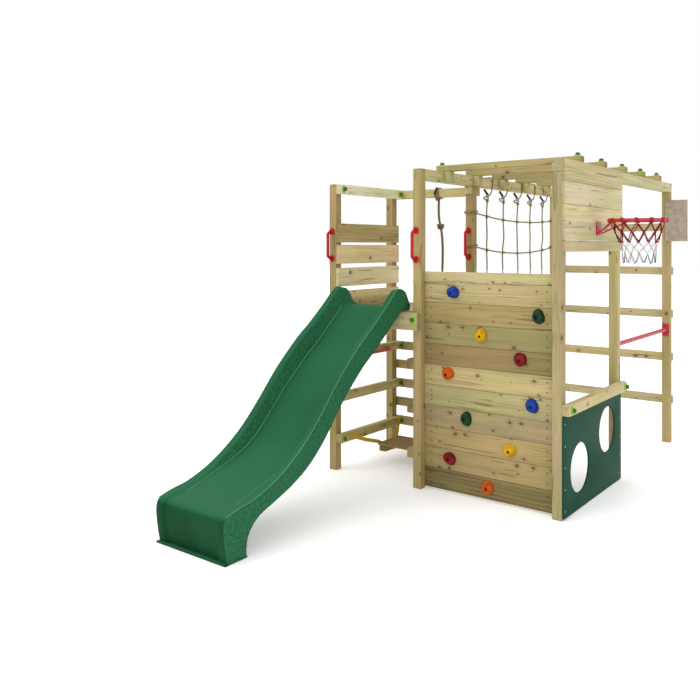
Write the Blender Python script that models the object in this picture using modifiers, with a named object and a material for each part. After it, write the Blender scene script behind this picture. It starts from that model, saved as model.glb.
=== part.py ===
"""A wooden climbing frame with a rock climbing wall, in metres, +Z up.

X runs along the climbing wall, Y runs back from it. The lengths below are laid
out from the front right ground corner of the wall's right post. An empty then
shifts the whole assembly, so the origin is on the ground, in the middle of the
box around all the solids.
"""

import math

import bmesh
import bpy
from mathutils import Matrix, Vector

GAP = 0.0003
HALF_GAP = GAP / 2

# Timber sections
POST = 0.0585
RAIL_DEEP = 0.045
BOARD = 0.018
BAR_WIDE = 0.06
BAR_THICK = 0.04

# Plan: post faces
WALL_LEFT = -0.9124
TOWER_LEFT = -1.585
TOWER_BACK = 0.6747
DEN_BACK = 0.9207
FRAME_BACK = 2.1325

# Heights
FRAME_TOP = 2.0
BEAM_LOW = 1.93
TOWER_POST_TOP = 1.933
DECK_TOP = 1.10
WALL_TOP = 1.357
WALL_RAIL_LOW = 1.293

# Monkey bars
MONKEY_BARS = 5
MONKEY_FIRST = 0.31
MONKEY_PITCH = 0.3945

# Tower sides
SIDE_RAIL_LOWS = (0.185, 0.467, 0.747)
SIDE_RAIL_TALL = 0.06
BACK_RUNG_LOWS = (0.18, 0.32, 0.46, 0.60, 0.74)
SIDE_BOARDS = ((1.540, 1.668), (1.395, 1.523), (1.240, 1.368), (1.1036, 1.211))

# Climbing wall
WALL_FRONT = 0.045
WALL_THICK = 0.020
WALL_LOW = 0.015
WALL_PLANKS = 10
GROOVE = 0.0025
HOLD_RADIUS = 0.043
HOLD_TALL = 0.036
HOLDS = (
    ("blue", -0.707, 1.233),
    ("green", -0.154, 1.115),
    ("yellow", -0.517, 0.983),
    ("red", -0.266, 0.863),
    ("orange", -0.742, 0.735),
    ("blue", -0.193, 0.605),
    ("green", -0.615, 0.474),
    ("yellow", -0.334, 0.328),
    ("red", -0.730, 0.216),
    ("orange", -0.475, 0.087),
)

# Ball hoop and its board
HOOP_BOARD_LOW = 1.483
HOOP_BOARD_LONG = 0.963
HOOP_X, HOOP_Y, HOOP_Z = 0.25, 0.515, 1.665
HOOP_RADIUS = 0.155
HOOP_WIRE = 0.008
HOOP_STRUT = 0.0045
HOOP_SPREAD = math.radians(52)
HOOP_PLATE_Y = (0.479, 0.552)
HOOP_PLATE_Z = (1.578, 1.658)
HOOP_STRUT_Z = 1.588
NET_LOW = 1.41
NET_LOW_RADIUS = 0.09
NET_INSET = 0.016

# Play panel on the right side
PANEL_THICK = 0.010
PANEL_LONG = 0.96
PANEL_LOW, PANEL_HIGH = 0.010, 0.575
PANEL_HOLES = ((0.245, 0.246, 0.142), (0.70, 0.378, 0.140))
PANEL_RAIL = (0.58, 0.641)

# Ladder at the back
LADDER_LOWS = (0.290, 0.622, 0.957, 1.290, 1.632)
LADDER_TALL = 0.06

# Grab handles: post face centre in X, post front face in Y, lower and upper end
HANDLE_PROUD = 0.042
HANDLE_WIRE = 0.0115
HANDLES = (
    ("handle_tower_left", -1.614, 0.0, 1.41, 1.635),
    ("handle_tower_right", -0.9417, 0.0, 1.41, 1.635),
    ("handle_tower_back", -0.9417, TOWER_BACK, 1.42, 1.645),
)

# Cargo net
NET_X = -0.9417
NET_ROPE = 0.012
NET_UPRIGHTS = (0.944, 1.205, 1.451, 1.684, 1.917)
NET_TOP = 1.905
NET_BOTTOM = 0.27
NET_ROWS = 6
NET_ROW_FIRST = 1.715
NET_ROW_PITCH = 0.235
NET_ENDS = (0.7795, 1.99)

# Climbing rope
ROPE_WIDE = 0.018
ROPE_ROUTE = (
    (-1.260, 0.800, 1.855),
    (-1.261, 0.800, 1.80),
    (-1.260, 0.800, 1.74),
    (-1.253, 0.800, 1.69),
    (-1.241, 0.800, 1.64),
    (-1.233, 0.801, 1.58),
    (-1.229, 0.802, 1.50),
    (-1.230, 0.803, 1.41),
    (-1.234, 0.804, 1.31),
    (-1.237, 0.806, 1.20),
    (-1.238, 0.808, 1.09),
    (-1.237, 0.809, 0.98),
    (-1.235, 0.809, 0.87),
    (-1.234, 0.808, 0.76),
    (-1.235, 0.807, 0.65),
    (-1.237, 0.807, 0.54),
    (-1.238, 0.808, 0.44),
    (-1.237, 0.809, 0.36),
)
ROPE_STEPS = 3

# Slide: the foremost point is the rolled nose above its foot
SLIDE_X = -1.278
SLIDE_SKIN = 0.006
SLIDE_SKIRT = 0.250
SLIDE_RIM_OUT = 0.247
SLIDE_RIM_MID = 0.221
SLIDE_RIM_IN = 0.192
SLIDE_BED = 0.170
SLIDE_CROWN = 0.004
SLIDE_NOSE = -1.5505
# Each station: rim (y, z), bed (y, z), lower edge of the side (y, z)
SLIDE_STATIONS = (
    ((0.050, 1.137), (0.050, 1.131), (0.050, 1.1060)),
    ((0.000, 1.185), (0.000, 1.132), (0.000, 1.1060)),
    ((-0.055, 1.232), (-0.045, 1.131), (-0.040, 1.1062)),
    ((-0.100, 1.220), (-0.100, 1.111), (-0.092, 1.070)),
    ((-0.200, 1.140), (-0.200, 1.026), (-0.200, 0.984)),
    ((-0.340, 1.030), (-0.340, 0.910), (-0.340, 0.880)),
    ((-0.475, 0.932), (-0.475, 0.812), (-0.475, 0.782)),
    ((-0.655, 0.774), (-0.655, 0.656), (-0.655, 0.617)),
    ((-0.800, 0.614), (-0.800, 0.512), (-0.800, 0.454)),
    ((-0.930, 0.480), (-0.930, 0.402), (-0.930, 0.344)),
    ((-1.060, 0.374), (-1.070, 0.334), (-1.060, 0.272)),
    ((-1.200, 0.306), (-1.200, 0.297), (-1.200, 0.219)),
    ((-1.340, 0.268), (-1.340, 0.264), (-1.300, 0.183)),
    ((-1.450, 0.244), (-1.450, 0.238), (-1.355, 0.145)),
    ((-1.525, 0.215), (-1.525, 0.208), (-1.385, 0.105)),
    ((SLIDE_NOSE, 0.165), (-1.547, 0.157), (-1.397, 0.065)),
    ((-1.535, 0.080), (-1.530, 0.078), (-1.400, 0.030)),
    ((-1.514, 0.000), (-1.509, 0.000), (-1.398, 0.000)),
)

# Hanging step under the tower deck
STEP_X, STEP_Y = -1.28, 0.485
STEP_LONG, STEP_DEEP = 0.42, 0.27
STEP_TOP, STEP_PLATE = 0.131, 0.015
STEP_BATTEN = 0.055
STEP_LOW = 0.0765
STRAP_WIDE, STRAP_THICK = 0.025, 0.003
STRAP_REACH = 0.210
STRAP_FRONT, STRAP_REAR, STRAP_TOP = 0.085, 0.685, 0.228

# The box around everything, which sets the origin
LEFT_END = TOWER_LEFT - POST
RIGHT_END = HOOP_X + HOOP_RADIUS + HOOP_WIRE
BACK_END = FRAME_BACK + POST + RAIL_DEEP
SHIFT = Vector((-(LEFT_END + RIGHT_END) / 2, -(SLIDE_NOSE + BACK_END) / 2, 0.0))

COLOURS = {
    "timber": (0.45, 0.36, 0.17, 0.75, 0.0),
    "board": (0.52, 0.42, 0.24, 0.75, 0.0),
    "slide_green": (0.015, 0.11, 0.04, 0.45, 0.0),
    "panel_green": (0.018, 0.07, 0.045, 0.40, 0.0),
    "rope": (0.10, 0.075, 0.04, 0.90, 0.0),
    "red_metal": (0.62, 0.02, 0.04, 0.35, 0.0),
    "red_plastic": (0.70, 0.02, 0.03, 0.30, 0.0),
    "net_cord": (0.60, 0.25, 0.25, 0.85, 0.0),
    "hold_blue": (0.005, 0.03, 0.25, 0.45, 0.0),
    "hold_green": (0.007, 0.035, 0.012, 0.45, 0.0),
    "hold_yellow": (0.55, 0.28, 0.003, 0.45, 0.0),
    "hold_red": (0.20, 0.004, 0.005, 0.45, 0.0),
    "hold_orange": (0.50, 0.07, 0.005, 0.45, 0.0),
}


def clear_scene():
    for existing in list(bpy.data.objects):
        bpy.data.objects.remove(existing, do_unlink=True)


def new_collection(name, hidden=False):
    made = bpy.data.collections.new(name)
    made.hide_render = hidden
    bpy.context.scene.collection.children.link(made)
    return made


def make_material(name, red, green, blue, rough, metal):
    made = bpy.data.materials.new(name)
    made.use_nodes = True
    shader = made.node_tree.nodes["Principled BSDF"]
    shader.inputs["Base Color"].default_value = (red, green, blue, 1.0)
    shader.inputs["Roughness"].default_value = rough
    shader.inputs["Metallic"].default_value = metal
    made.diffuse_color = (red, green, blue, 1.0)
    return made


clear_scene()
parts = new_collection("climbing_frame")
cutters = new_collection("cutters", hidden=True)
materials = {name: make_material(name, *values) for name, values in COLOURS.items()}
assembly = bpy.data.objects.new("assembly", None)
assembly.location = SHIFT
parts.objects.link(assembly)


def place(obj, material, collection=parts):
    """Links an object, hangs it on the assembly empty and gives it its material."""
    collection.objects.link(obj)
    obj.parent = assembly
    if material:
        obj.data.materials.append(materials[material])
    return obj


def mesh_object(name, shape, material, collection=parts):
    mesh = bpy.data.meshes.new(name)
    shape.to_mesh(mesh)
    shape.free()
    return place(bpy.data.objects.new(name, mesh), material, collection)


def cutter(obj):
    obj.hide_render = True
    obj.display_type = "WIRE"
    return obj


def box_shape(x, y, z):
    """A cube primitive stretched to the given ranges."""
    low = Vector((x[0], y[0], z[0]))
    size = Vector((x[1] - x[0], y[1] - y[0], z[1] - z[0]))
    shape = bmesh.new()
    bmesh.ops.create_cube(shape, size=1.0)
    bmesh.ops.scale(shape, vec=size, verts=shape.verts)
    bmesh.ops.translate(shape, vec=low + size / 2, verts=shape.verts)
    return shape


def timber(name, x, y, z, material="timber"):
    """A squared timber, half a gap clear of its neighbours, but standing on the ground."""
    low_z = z[0] if z[0] == 0 else z[0] + HALF_GAP
    shape = box_shape(
        (x[0] + HALF_GAP, x[1] - HALF_GAP),
        (y[0] + HALF_GAP, y[1] - HALF_GAP),
        (low_z, z[1] - HALF_GAP),
    )
    return mesh_object(name, shape, material)


def rod_shape(start, end, radius, sides=12):
    """A capped cylinder from one point to another."""
    start, end = Vector(start), Vector(end)
    along = end - start
    turn = along.to_track_quat("Z", "Y").to_matrix().to_4x4()
    shape = bmesh.new()
    bmesh.ops.create_cone(
        shape,
        cap_ends=True,
        segments=sides,
        radius1=radius,
        radius2=radius,
        depth=along.length,
        matrix=Matrix.Translation((start + end) / 2) @ turn,
    )
    return shape


def strap_shape(start, end, wide, thick):
    """A flat band between two points, its width level and across the run."""
    start, end = Vector(start), Vector(end)
    along = (end - start).normalized()
    across = Vector((1.0, 0.0, 0.0))
    face = along.cross(across).normalized()
    across = face.cross(along)
    frame = Matrix((across, along, face)).transposed().to_4x4()
    shape = bmesh.new()
    bmesh.ops.create_cube(shape, size=1.0)
    bmesh.ops.scale(shape, vec=(wide, (end - start).length, thick), verts=shape.verts)
    bmesh.ops.transform(shape, matrix=frame, verts=shape.verts)
    bmesh.ops.translate(shape, vec=(start + end) / 2, verts=shape.verts)
    return shape


def combine(name, shapes, material, operation="UNION"):
    """The first shape, with each further one joined to it or cut from it."""
    body = mesh_object(name, shapes[0], material)
    for number, shape in enumerate(shapes[1:], start=1):
        tool = cutter(mesh_object(f"{name}_tool_{number}", shape, None, cutters))
        modifier = body.modifiers.new(f"{operation.lower()}_{number}", "BOOLEAN")
        modifier.operation = operation
        modifier.solver = "EXACT"
        modifier.object = tool
    return body


def smooth_points(points, steps):
    """Points of a Catmull-Rom curve through the given ones, with steps between each pair."""
    knots = [Vector(point) for point in points]
    knots = [2 * knots[0] - knots[1]] + knots + [2 * knots[-1] - knots[-2]]
    made = []
    for index in range(1, len(knots) - 2):
        before, start, end, after = knots[index - 1 : index + 3]
        for step in range(steps):
            t = step / steps
            made.append(
                0.5
                * (
                    2 * start
                    + (end - before) * t
                    + (2 * before - 5 * start + 4 * end - after) * t**2
                    + (3 * start - before - 3 * end + after) * t**3
                )
            )
    made.append(knots[-2])
    return made


def tube(name, points, radius, material):
    """A round bar or rope through the points, with capped ends."""
    curve = bpy.data.curves.new(name, "CURVE")
    curve.dimensions = "3D"
    curve.bevel_depth = radius
    curve.bevel_resolution = 2
    curve.use_fill_caps = True
    spline = curve.splines.new("POLY")
    spline.points.add(len(points) - 1)
    for target, point in zip(spline.points, points):
        target.co = (*point, 1.0)
    return place(bpy.data.objects.new(name, curve), material)


def build_posts():
    tower_left = (LEFT_END, TOWER_LEFT)
    wall_left = (WALL_LEFT - POST, WALL_LEFT)
    right = (-POST, 0.0)
    front = (0.0, POST)
    tower_back = (TOWER_BACK, TOWER_BACK + POST)
    den_back = (DEN_BACK, DEN_BACK + POST)
    back = (FRAME_BACK, FRAME_BACK + POST)
    timber("post_tower_front_left", tower_left, front, (0, TOWER_POST_TOP))
    timber("post_tower_back_left", tower_left, tower_back, (0, TOWER_POST_TOP))
    timber("post_wall_left", wall_left, front, (0, FRAME_TOP))
    timber("post_wall_right", right, front, (0, BEAM_LOW))
    timber("post_tower_back_right", wall_left, tower_back, (0, BEAM_LOW))
    timber("post_den_back", right, den_back, (0, BEAM_LOW))
    timber("post_ladder_left", wall_left, back, (0, BEAM_LOW))
    timber("post_ladder_right", right, back, (0, BEAM_LOW))


def build_top():
    beam_high = (BEAM_LOW, FRAME_TOP)
    back = FRAME_BACK + POST
    timber("beam_left", (WALL_LEFT - POST, WALL_LEFT), (POST, back), beam_high)
    timber("beam_right", (-POST, 0.0), (0.0, back), beam_high)
    for number in range(MONKEY_BARS):
        middle = MONKEY_FIRST + number * MONKEY_PITCH
        timber(
            f"monkey_bar_{number + 1}",
            (WALL_LEFT - POST, 0.0),
            (middle - BAR_WIDE / 2, middle + BAR_WIDE / 2),
            (FRAME_TOP, FRAME_TOP + BAR_THICK),
        )


def build_tower():
    side = (0.0, TOWER_BACK + POST)
    inner_left = (TOWER_LEFT, TOWER_LEFT + RAIL_DEEP)
    inner_right = (WALL_LEFT - POST - RAIL_DEEP, WALL_LEFT - POST)
    back = (TOWER_BACK + POST, TOWER_BACK + POST + RAIL_DEEP)
    full = (LEFT_END, WALL_LEFT)
    timber("tower_top_rail_side", inner_left, side, (1.867, 1.931))
    timber("tower_top_rail_back", full, back, (1.866, 1.928))
    for number, low in enumerate(SIDE_RAIL_LOWS, start=1):
        timber(f"side_rail_left_{number}", inner_left, side, (low, low + SIDE_RAIL_TALL))
    low = SIDE_RAIL_LOWS[0]
    timber("side_rail_right_1", inner_right, side, (low, low + SIDE_RAIL_TALL))
    for number, low in enumerate(BACK_RUNG_LOWS, start=1):
        timber(f"back_rung_{number}", full, back, (low, low + SIDE_RAIL_TALL))
    for number, height in enumerate(SIDE_BOARDS, start=1):
        board = (TOWER_LEFT, TOWER_LEFT + BOARD)
        timber(f"side_board_{number}", board, side, height, "board")
    build_deck(side)


def build_deck(side):
    """The front beam, with the floor boards and the two joists under them."""
    inner_left = TOWER_LEFT + HALF_GAP
    inner_right = WALL_LEFT - POST - HALF_GAP
    joist_high = (1.02, DECK_TOP - 0.012)
    joist_long = (-0.010, side[1] - HALF_GAP)
    front_beam = box_shape(
        (LEFT_END + HALF_GAP, WALL_LEFT - HALF_GAP),
        (-RAIL_DEEP, -HALF_GAP),
        (0.99, DECK_TOP),
    )
    floor = box_shape(
        (inner_left, inner_right),
        (-0.020, side[1] - HALF_GAP),
        (DECK_TOP - 0.0225, DECK_TOP - 0.0005),
    )
    joist_left = box_shape((inner_left, inner_left + RAIL_DEEP), joist_long, joist_high)
    joist_right = box_shape((inner_right - RAIL_DEEP, inner_right), joist_long, joist_high)
    combine("deck", [front_beam, floor, joist_left, joist_right], "timber")


def build_wall():
    """The wall's boards and top rail, as one panel whose face has a groove at each joint."""
    pitch = (WALL_RAIL_LOW - WALL_LOW) / WALL_PLANKS
    joints = [WALL_LOW + number * pitch for number in range(1, WALL_PLANKS + 1)]
    front, back = WALL_FRONT, WALL_FRONT + WALL_THICK
    outline = [(front, WALL_LOW)]
    for joint in joints:
        outline.append((front, joint - GROOVE))
        outline.append((front + GROOVE, joint))
        outline.append((front, joint + GROOVE))
    outline.append((front, WALL_TOP))
    outline.append((back, WALL_TOP))
    outline.append((back, WALL_LOW))
    left, right = WALL_LEFT + GAP, -POST - GAP
    curve = bpy.data.curves.new("climbing_wall", "CURVE")
    curve.dimensions = "2D"
    curve.fill_mode = "BOTH"
    curve.extrude = (right - left) / 2
    spline = curve.splines.new("POLY")
    spline.points.add(len(outline) - 1)
    for target, (y, z) in zip(spline.points, outline):
        target.co = (y, z, 0.0, 1.0)
    spline.use_cyclic_u = True
    wall = place(bpy.data.objects.new("climbing_wall", curve), "board")
    wall.rotation_euler = (math.pi / 2, 0.0, math.pi / 2)
    wall.location = ((left + right) / 2, 0.0, 0.0)


def hold_shape(x, z, turn):
    """A rounded lump, wider at its base on the wall than at its outer end."""
    rings = ((1.0, 0.0), (0.97, 0.35), (0.78, 0.75), (0.42, 1.0))
    base = WALL_FRONT - GAP
    shape = bmesh.new()
    bmesh.ops.create_cone(
        shape,
        cap_ends=True,
        segments=12,
        radius1=HOLD_RADIUS,
        radius2=HOLD_RADIUS,
        depth=HOLD_TALL,
    )
    levels = sorted({round(vert.co.z, 6) for vert in shape.verts})
    uprights = [edge for edge in shape.edges if edge.verts[0].co.z != edge.verts[1].co.z]
    bmesh.ops.subdivide_edges(shape, edges=uprights, cuts=len(rings) - 2)
    low, high = levels
    for vert in shape.verts:
        part_way = (vert.co.z - low) / (high - low)
        ring = rings[round(part_way * (len(rings) - 1))]
        vert.co.x *= ring[0] * 1.06
        vert.co.y *= ring[0] * 0.94
        vert.co.z = HOLD_TALL * ring[1]
    stand = Matrix.Translation((x, base, z)) @ Matrix.Rotation(math.pi / 2, 4, "X")
    bmesh.ops.transform(shape, matrix=stand @ Matrix.Rotation(turn, 4, "Z"), verts=shape.verts)
    return shape


def build_holds():
    for number, (colour, x, z) in enumerate(HOLDS, start=1):
        name = f"hold_{number:02d}_{colour}"
        mesh_object(name, hold_shape(x, z, 0.7 * number), f"hold_{colour}")


def build_hoop():
    timber(
        "hoop_board",
        (0.0, BOARD),
        (0.0, HOOP_BOARD_LONG),
        (HOOP_BOARD_LOW, FRAME_TOP),
        "board",
    )
    plate_out = BOARD + 0.0065
    plate = box_shape((BOARD + GAP, plate_out), HOOP_PLATE_Y, HOOP_PLATE_Z)
    bpy.ops.mesh.primitive_torus_add(
        location=(HOOP_X, HOOP_Y, HOOP_Z),
        major_segments=32,
        minor_segments=8,
        major_radius=HOOP_RADIUS,
        minor_radius=HOOP_WIRE,
    )
    torus = bpy.context.object
    ring = bmesh.new()
    ring.from_mesh(torus.data)
    bmesh.ops.translate(ring, vec=torus.location, verts=ring.verts)
    bpy.data.objects.remove(torus, do_unlink=True)
    shapes = [ring]
    low_end = (plate_out - 0.003, HOOP_Y, HOOP_STRUT_Z)
    for angle in (-HOOP_SPREAD, 0.0, HOOP_SPREAD):
        reach = (HOOP_RADIUS - 0.002) * math.cos(angle)
        spread = (HOOP_RADIUS - 0.002) * math.sin(angle)
        far = (HOOP_X - reach, HOOP_Y + spread, HOOP_Z - 0.002)
        shapes.append(rod_shape(low_end, far, HOOP_STRUT, 8))
    shapes.append(plate)
    combine("hoop", shapes, "red_metal")


def build_hoop_net():
    """A thin tapering sleeve, open at both ends, hanging under the ring."""
    top = HOOP_Z - HOOP_WIRE - GAP
    sides = 20
    shape = bmesh.new()
    bmesh.ops.create_cone(
        shape,
        cap_ends=False,
        segments=sides,
        radius1=NET_LOW_RADIUS,
        radius2=HOOP_RADIUS - NET_INSET,
        depth=top - NET_LOW,
        matrix=Matrix.Translation((HOOP_X, HOOP_Y, (top + NET_LOW) / 2)),
    )
    net = mesh_object("hoop_net", shape, "net_cord")
    skin = net.modifiers.new("thickness", "SOLIDIFY")
    skin.thickness = 0.003
    skin.offset = -1.0


def build_den():
    outer = (0.0, PANEL_THICK)
    panel = box_shape(
        (HALF_GAP, PANEL_THICK), (0.0, PANEL_LONG), (PANEL_LOW, PANEL_HIGH)
    )
    shapes = [panel]
    for y, z, radius in PANEL_HOLES:
        shapes.append(rod_shape((-0.02, y, z), (outer[1] + 0.02, y, z), radius, 32))
    combine("play_panel", shapes, "panel_green", "DIFFERENCE")
    timber("play_panel_rail", (0.0, RAIL_DEEP), (0.0, 0.97), PANEL_RAIL)


def build_ladder():
    across = (WALL_LEFT - POST, 0.0)
    back = (FRAME_BACK + POST, BACK_END)
    for number, low in enumerate(LADDER_LOWS, start=1):
        timber(f"ladder_rung_{number}", across, back, (low, low + LADDER_TALL))


def build_gym_bar():
    """A round bar with a flat fixing plate on the post at each end."""
    x, z = -0.029, 0.871
    start = DEN_BACK + POST + GAP
    end = FRAME_BACK - GAP
    bar = rod_shape((x, start + 0.002, z), (x, end - 0.002, z), 0.0145, 14)
    shapes = [bar]
    for low in (start, end - 0.005):
        shapes.append(box_shape((x - 0.027, x + 0.027), (low, low + 0.005), (z - 0.052, z + 0.043)))
    combine("gym_bar", shapes, "red_metal")


def build_handles():
    for name, x, face, low, high in HANDLES:
        back = face - GAP
        front = face - HANDLE_PROUD
        bend = 0.022
        route = [(x, back, low)]
        for step in range(4):
            angle = step / 3 * math.pi / 2
            y = front + bend * (1 - math.sin(angle))
            route.append((x, y, low + bend * (1 - math.cos(angle))))
        for step in range(4):
            angle = (1 - step / 3) * math.pi / 2
            y = front + bend * (1 - math.sin(angle))
            route.append((x, y, high - bend * (1 - math.cos(angle))))
        route.append((x, back, high))
        tube(name, route, HANDLE_WIRE, "red_plastic")


def build_cargo_net():
    """A flat lattice of ropes, hanging below the left beam."""
    half = NET_ROPE / 2
    thin = half * 0.8
    rows = [NET_ROW_FIRST - number * NET_ROW_PITCH for number in range(NET_ROWS)]
    shapes = []
    for z in rows:
        shapes.append(box_shape((NET_X - thin, NET_X + thin), NET_ENDS, (z - thin, z + thin)))
    for y in NET_UPRIGHTS:
        shapes.append(
            box_shape((NET_X - half, NET_X + half), (y - half, y + half), (NET_BOTTOM, NET_TOP))
        )
    order = shapes[NET_ROWS:] + shapes[:NET_ROWS]
    chain = [order[0]] + order[len(NET_UPRIGHTS) :] + order[1 : len(NET_UPRIGHTS)]
    combine("cargo_net", chain, "rope")


def build_rope():
    tube("climbing_rope", smooth_points(ROPE_ROUTE, ROPE_STEPS), ROPE_WIDE / 2, "rope")


def slide_section(rim, bed, low):
    """The points of one cross-section, from the left lower edge to the right one."""
    crest = rim[1] + SLIDE_CROWN
    half = (
        (SLIDE_SKIRT, low[0], low[1]),
        (SLIDE_RIM_OUT, rim[0], rim[1]),
        (SLIDE_RIM_MID, rim[0], crest if rim[1] > 0 else 0.0),
        (SLIDE_RIM_IN, rim[0], rim[1]),
        (SLIDE_BED, bed[0], bed[1]),
        (SLIDE_BED / 2, bed[0], bed[1]),
    )
    left = [Vector((-x, y, z)) for x, y, z in half]
    right = [Vector((x, y, z)) for x, y, z in reversed(half)]
    return left + right


def build_slide():
    """A moulded shell: an open surface lofted along the stations, then thickened inwards."""
    shape = bmesh.new()
    rows = []
    for station in SLIDE_STATIONS:
        section = slide_section(*station)
        rows.append([shape.verts.new((SLIDE_X + point.x, point.y, point.z)) for point in section])
    for near, far in zip(rows, rows[1:]):
        for index in range(len(near) - 1):
            shape.faces.new((near[index], far[index], far[index + 1], near[index + 1]))
    slide = mesh_object("slide", shape, "slide_green")
    skin = slide.modifiers.new("thickness", "SOLIDIFY")
    skin.thickness = SLIDE_SKIN
    skin.offset = -1.0
    slide.data.shade_smooth()


def build_step():
    """A small board on two battens, hung from a strap at each corner."""
    left, right = STEP_X - STEP_LONG / 2, STEP_X + STEP_LONG / 2
    front, back = STEP_Y - STEP_DEEP / 2, STEP_Y + STEP_DEEP / 2
    plate = box_shape((left, right), (front, back), (STEP_TOP - STEP_PLATE, STEP_TOP))
    shapes = [plate]
    batten_high = (STEP_LOW, STEP_TOP - STEP_PLATE + 0.002)
    for start in (left + 0.012, right - 0.012 - STEP_BATTEN):
        shapes.append(
            box_shape((start, start + STEP_BATTEN), (front + 0.002, back - 0.002), batten_high)
        )
    for side in (-1, 1):
        inner = STEP_X + side * (STEP_LONG / 2 - 0.028)
        outer = STEP_X + side * STRAP_REACH
        for board_y, top_y in ((front + 0.02, STRAP_FRONT), (back - 0.02, STRAP_REAR)):
            start = (inner, board_y, STEP_TOP - 0.004)
            end = (outer, top_y, STRAP_TOP)
            shapes.append(strap_shape(start, end, STRAP_WIDE, STRAP_THICK))
    combine("balance_step", shapes, "timber")


build_posts()
build_top()
build_tower()
build_wall()
build_holds()
build_hoop()
build_hoop_net()
build_den()
build_ladder()
build_gym_bar()
build_handles()
build_cargo_net()
build_rope()
build_slide()
build_step()
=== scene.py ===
"""The looks of a wooden climbing frame with a rock climbing wall, in metres, +Z up.

Lengths are laid out from the front right ground corner of the wall's right post,
with X along the wall and Y back from it. at() turns such a point into the frame's.
"""

import math
import random

import bmesh
import bpy
from mathutils import Euler, Matrix, Vector, noise


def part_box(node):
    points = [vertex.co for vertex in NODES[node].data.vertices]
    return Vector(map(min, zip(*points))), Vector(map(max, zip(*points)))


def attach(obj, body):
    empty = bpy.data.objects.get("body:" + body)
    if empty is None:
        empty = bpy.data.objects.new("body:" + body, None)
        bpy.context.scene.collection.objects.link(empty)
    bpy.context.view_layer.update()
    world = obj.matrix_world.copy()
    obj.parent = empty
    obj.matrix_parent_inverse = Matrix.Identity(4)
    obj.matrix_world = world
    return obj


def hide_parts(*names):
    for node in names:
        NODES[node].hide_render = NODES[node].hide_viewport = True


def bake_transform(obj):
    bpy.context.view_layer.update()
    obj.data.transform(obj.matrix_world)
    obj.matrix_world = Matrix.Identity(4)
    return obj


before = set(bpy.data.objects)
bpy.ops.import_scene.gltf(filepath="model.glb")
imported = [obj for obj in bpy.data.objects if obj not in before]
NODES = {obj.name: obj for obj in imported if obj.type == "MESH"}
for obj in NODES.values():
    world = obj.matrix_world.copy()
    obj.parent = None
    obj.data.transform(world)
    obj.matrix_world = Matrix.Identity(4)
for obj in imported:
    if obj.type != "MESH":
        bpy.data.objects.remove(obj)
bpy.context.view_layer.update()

HALF_GAP = 0.00015
corner_low, corner_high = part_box("post_wall_right")
ORIGIN = Vector((corner_high.x + HALF_GAP, corner_low.y - HALF_GAP, 0.0))

# Plan and heights, read back from the frame
POST = corner_high.x - corner_low.x + 2 * HALF_GAP
WALL_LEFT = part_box("post_wall_left")[1].x + HALF_GAP - ORIGIN.x
TOWER_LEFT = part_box("post_tower_front_left")[1].x + HALF_GAP - ORIGIN.x
TOWER_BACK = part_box("post_tower_back_left")[0].y - HALF_GAP - ORIGIN.y
DEN_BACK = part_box("post_den_back")[0].y - HALF_GAP - ORIGIN.y
FRAME_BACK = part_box("post_ladder_right")[0].y - HALF_GAP - ORIGIN.y
LEFT_END = TOWER_LEFT - POST
BEAM_LOW, BEAM_HIGH = (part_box("beam_left")[end].z for end in (0, 1))
BAR_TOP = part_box("monkey_bar_1")[1].z
RAIL_DEEP = 0.045
DECK_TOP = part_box("deck")[1].z

CAMERA_PLACE = (1.6372, -4.0484, 1.5154)
CAMERA_TURN = math.radians(37.5518)
CAMERA_LENS = 39.388
CAMERA_SHIFT = (0.001416, -0.1486)
LIGHT_GAIN = 1.15

# Climbing rope: the route of its CAD tube
ROPE_WIDE = 0.018
ROPE_ROUTE = (
    (-1.260, 0.800, 1.855),
    (-1.261, 0.800, 1.80),
    (-1.260, 0.800, 1.74),
    (-1.253, 0.800, 1.69),
    (-1.241, 0.800, 1.64),
    (-1.233, 0.801, 1.58),
    (-1.229, 0.802, 1.50),
    (-1.230, 0.803, 1.41),
    (-1.234, 0.804, 1.31),
    (-1.237, 0.806, 1.20),
    (-1.238, 0.808, 1.09),
    (-1.237, 0.809, 0.98),
    (-1.235, 0.809, 0.87),
    (-1.234, 0.808, 0.76),
    (-1.235, 0.807, 0.65),
    (-1.237, 0.807, 0.54),
    (-1.238, 0.808, 0.44),
    (-1.237, 0.809, 0.36),
)
ROPE_STEPS = 20
ROPE_PITCH = 0.055
ROPE_KNOTS = (1.657, 1.30, 0.94, 0.60)

# Cargo net
NET_X = -0.9417
NET_ROPE = 0.0055
NET_UPRIGHTS = (0.944, 1.205, 1.451, 1.684, 1.917)
NET_HANGERS = (0.952, 1.197, 1.443, 1.686, 1.936)
NET_JOIN = 1.845
NET_BOTTOM = 0.27
NET_ROWS = (
    (1.7015, 0.072, 1.55),
    (1.460, 0.101, 1.46),
    (1.225, 0.085, 1.52),
    (0.990, 0.070, 1.44),
    (0.755, 0.080, 1.50),
    (0.520, 0.065, 1.47),
)

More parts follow.
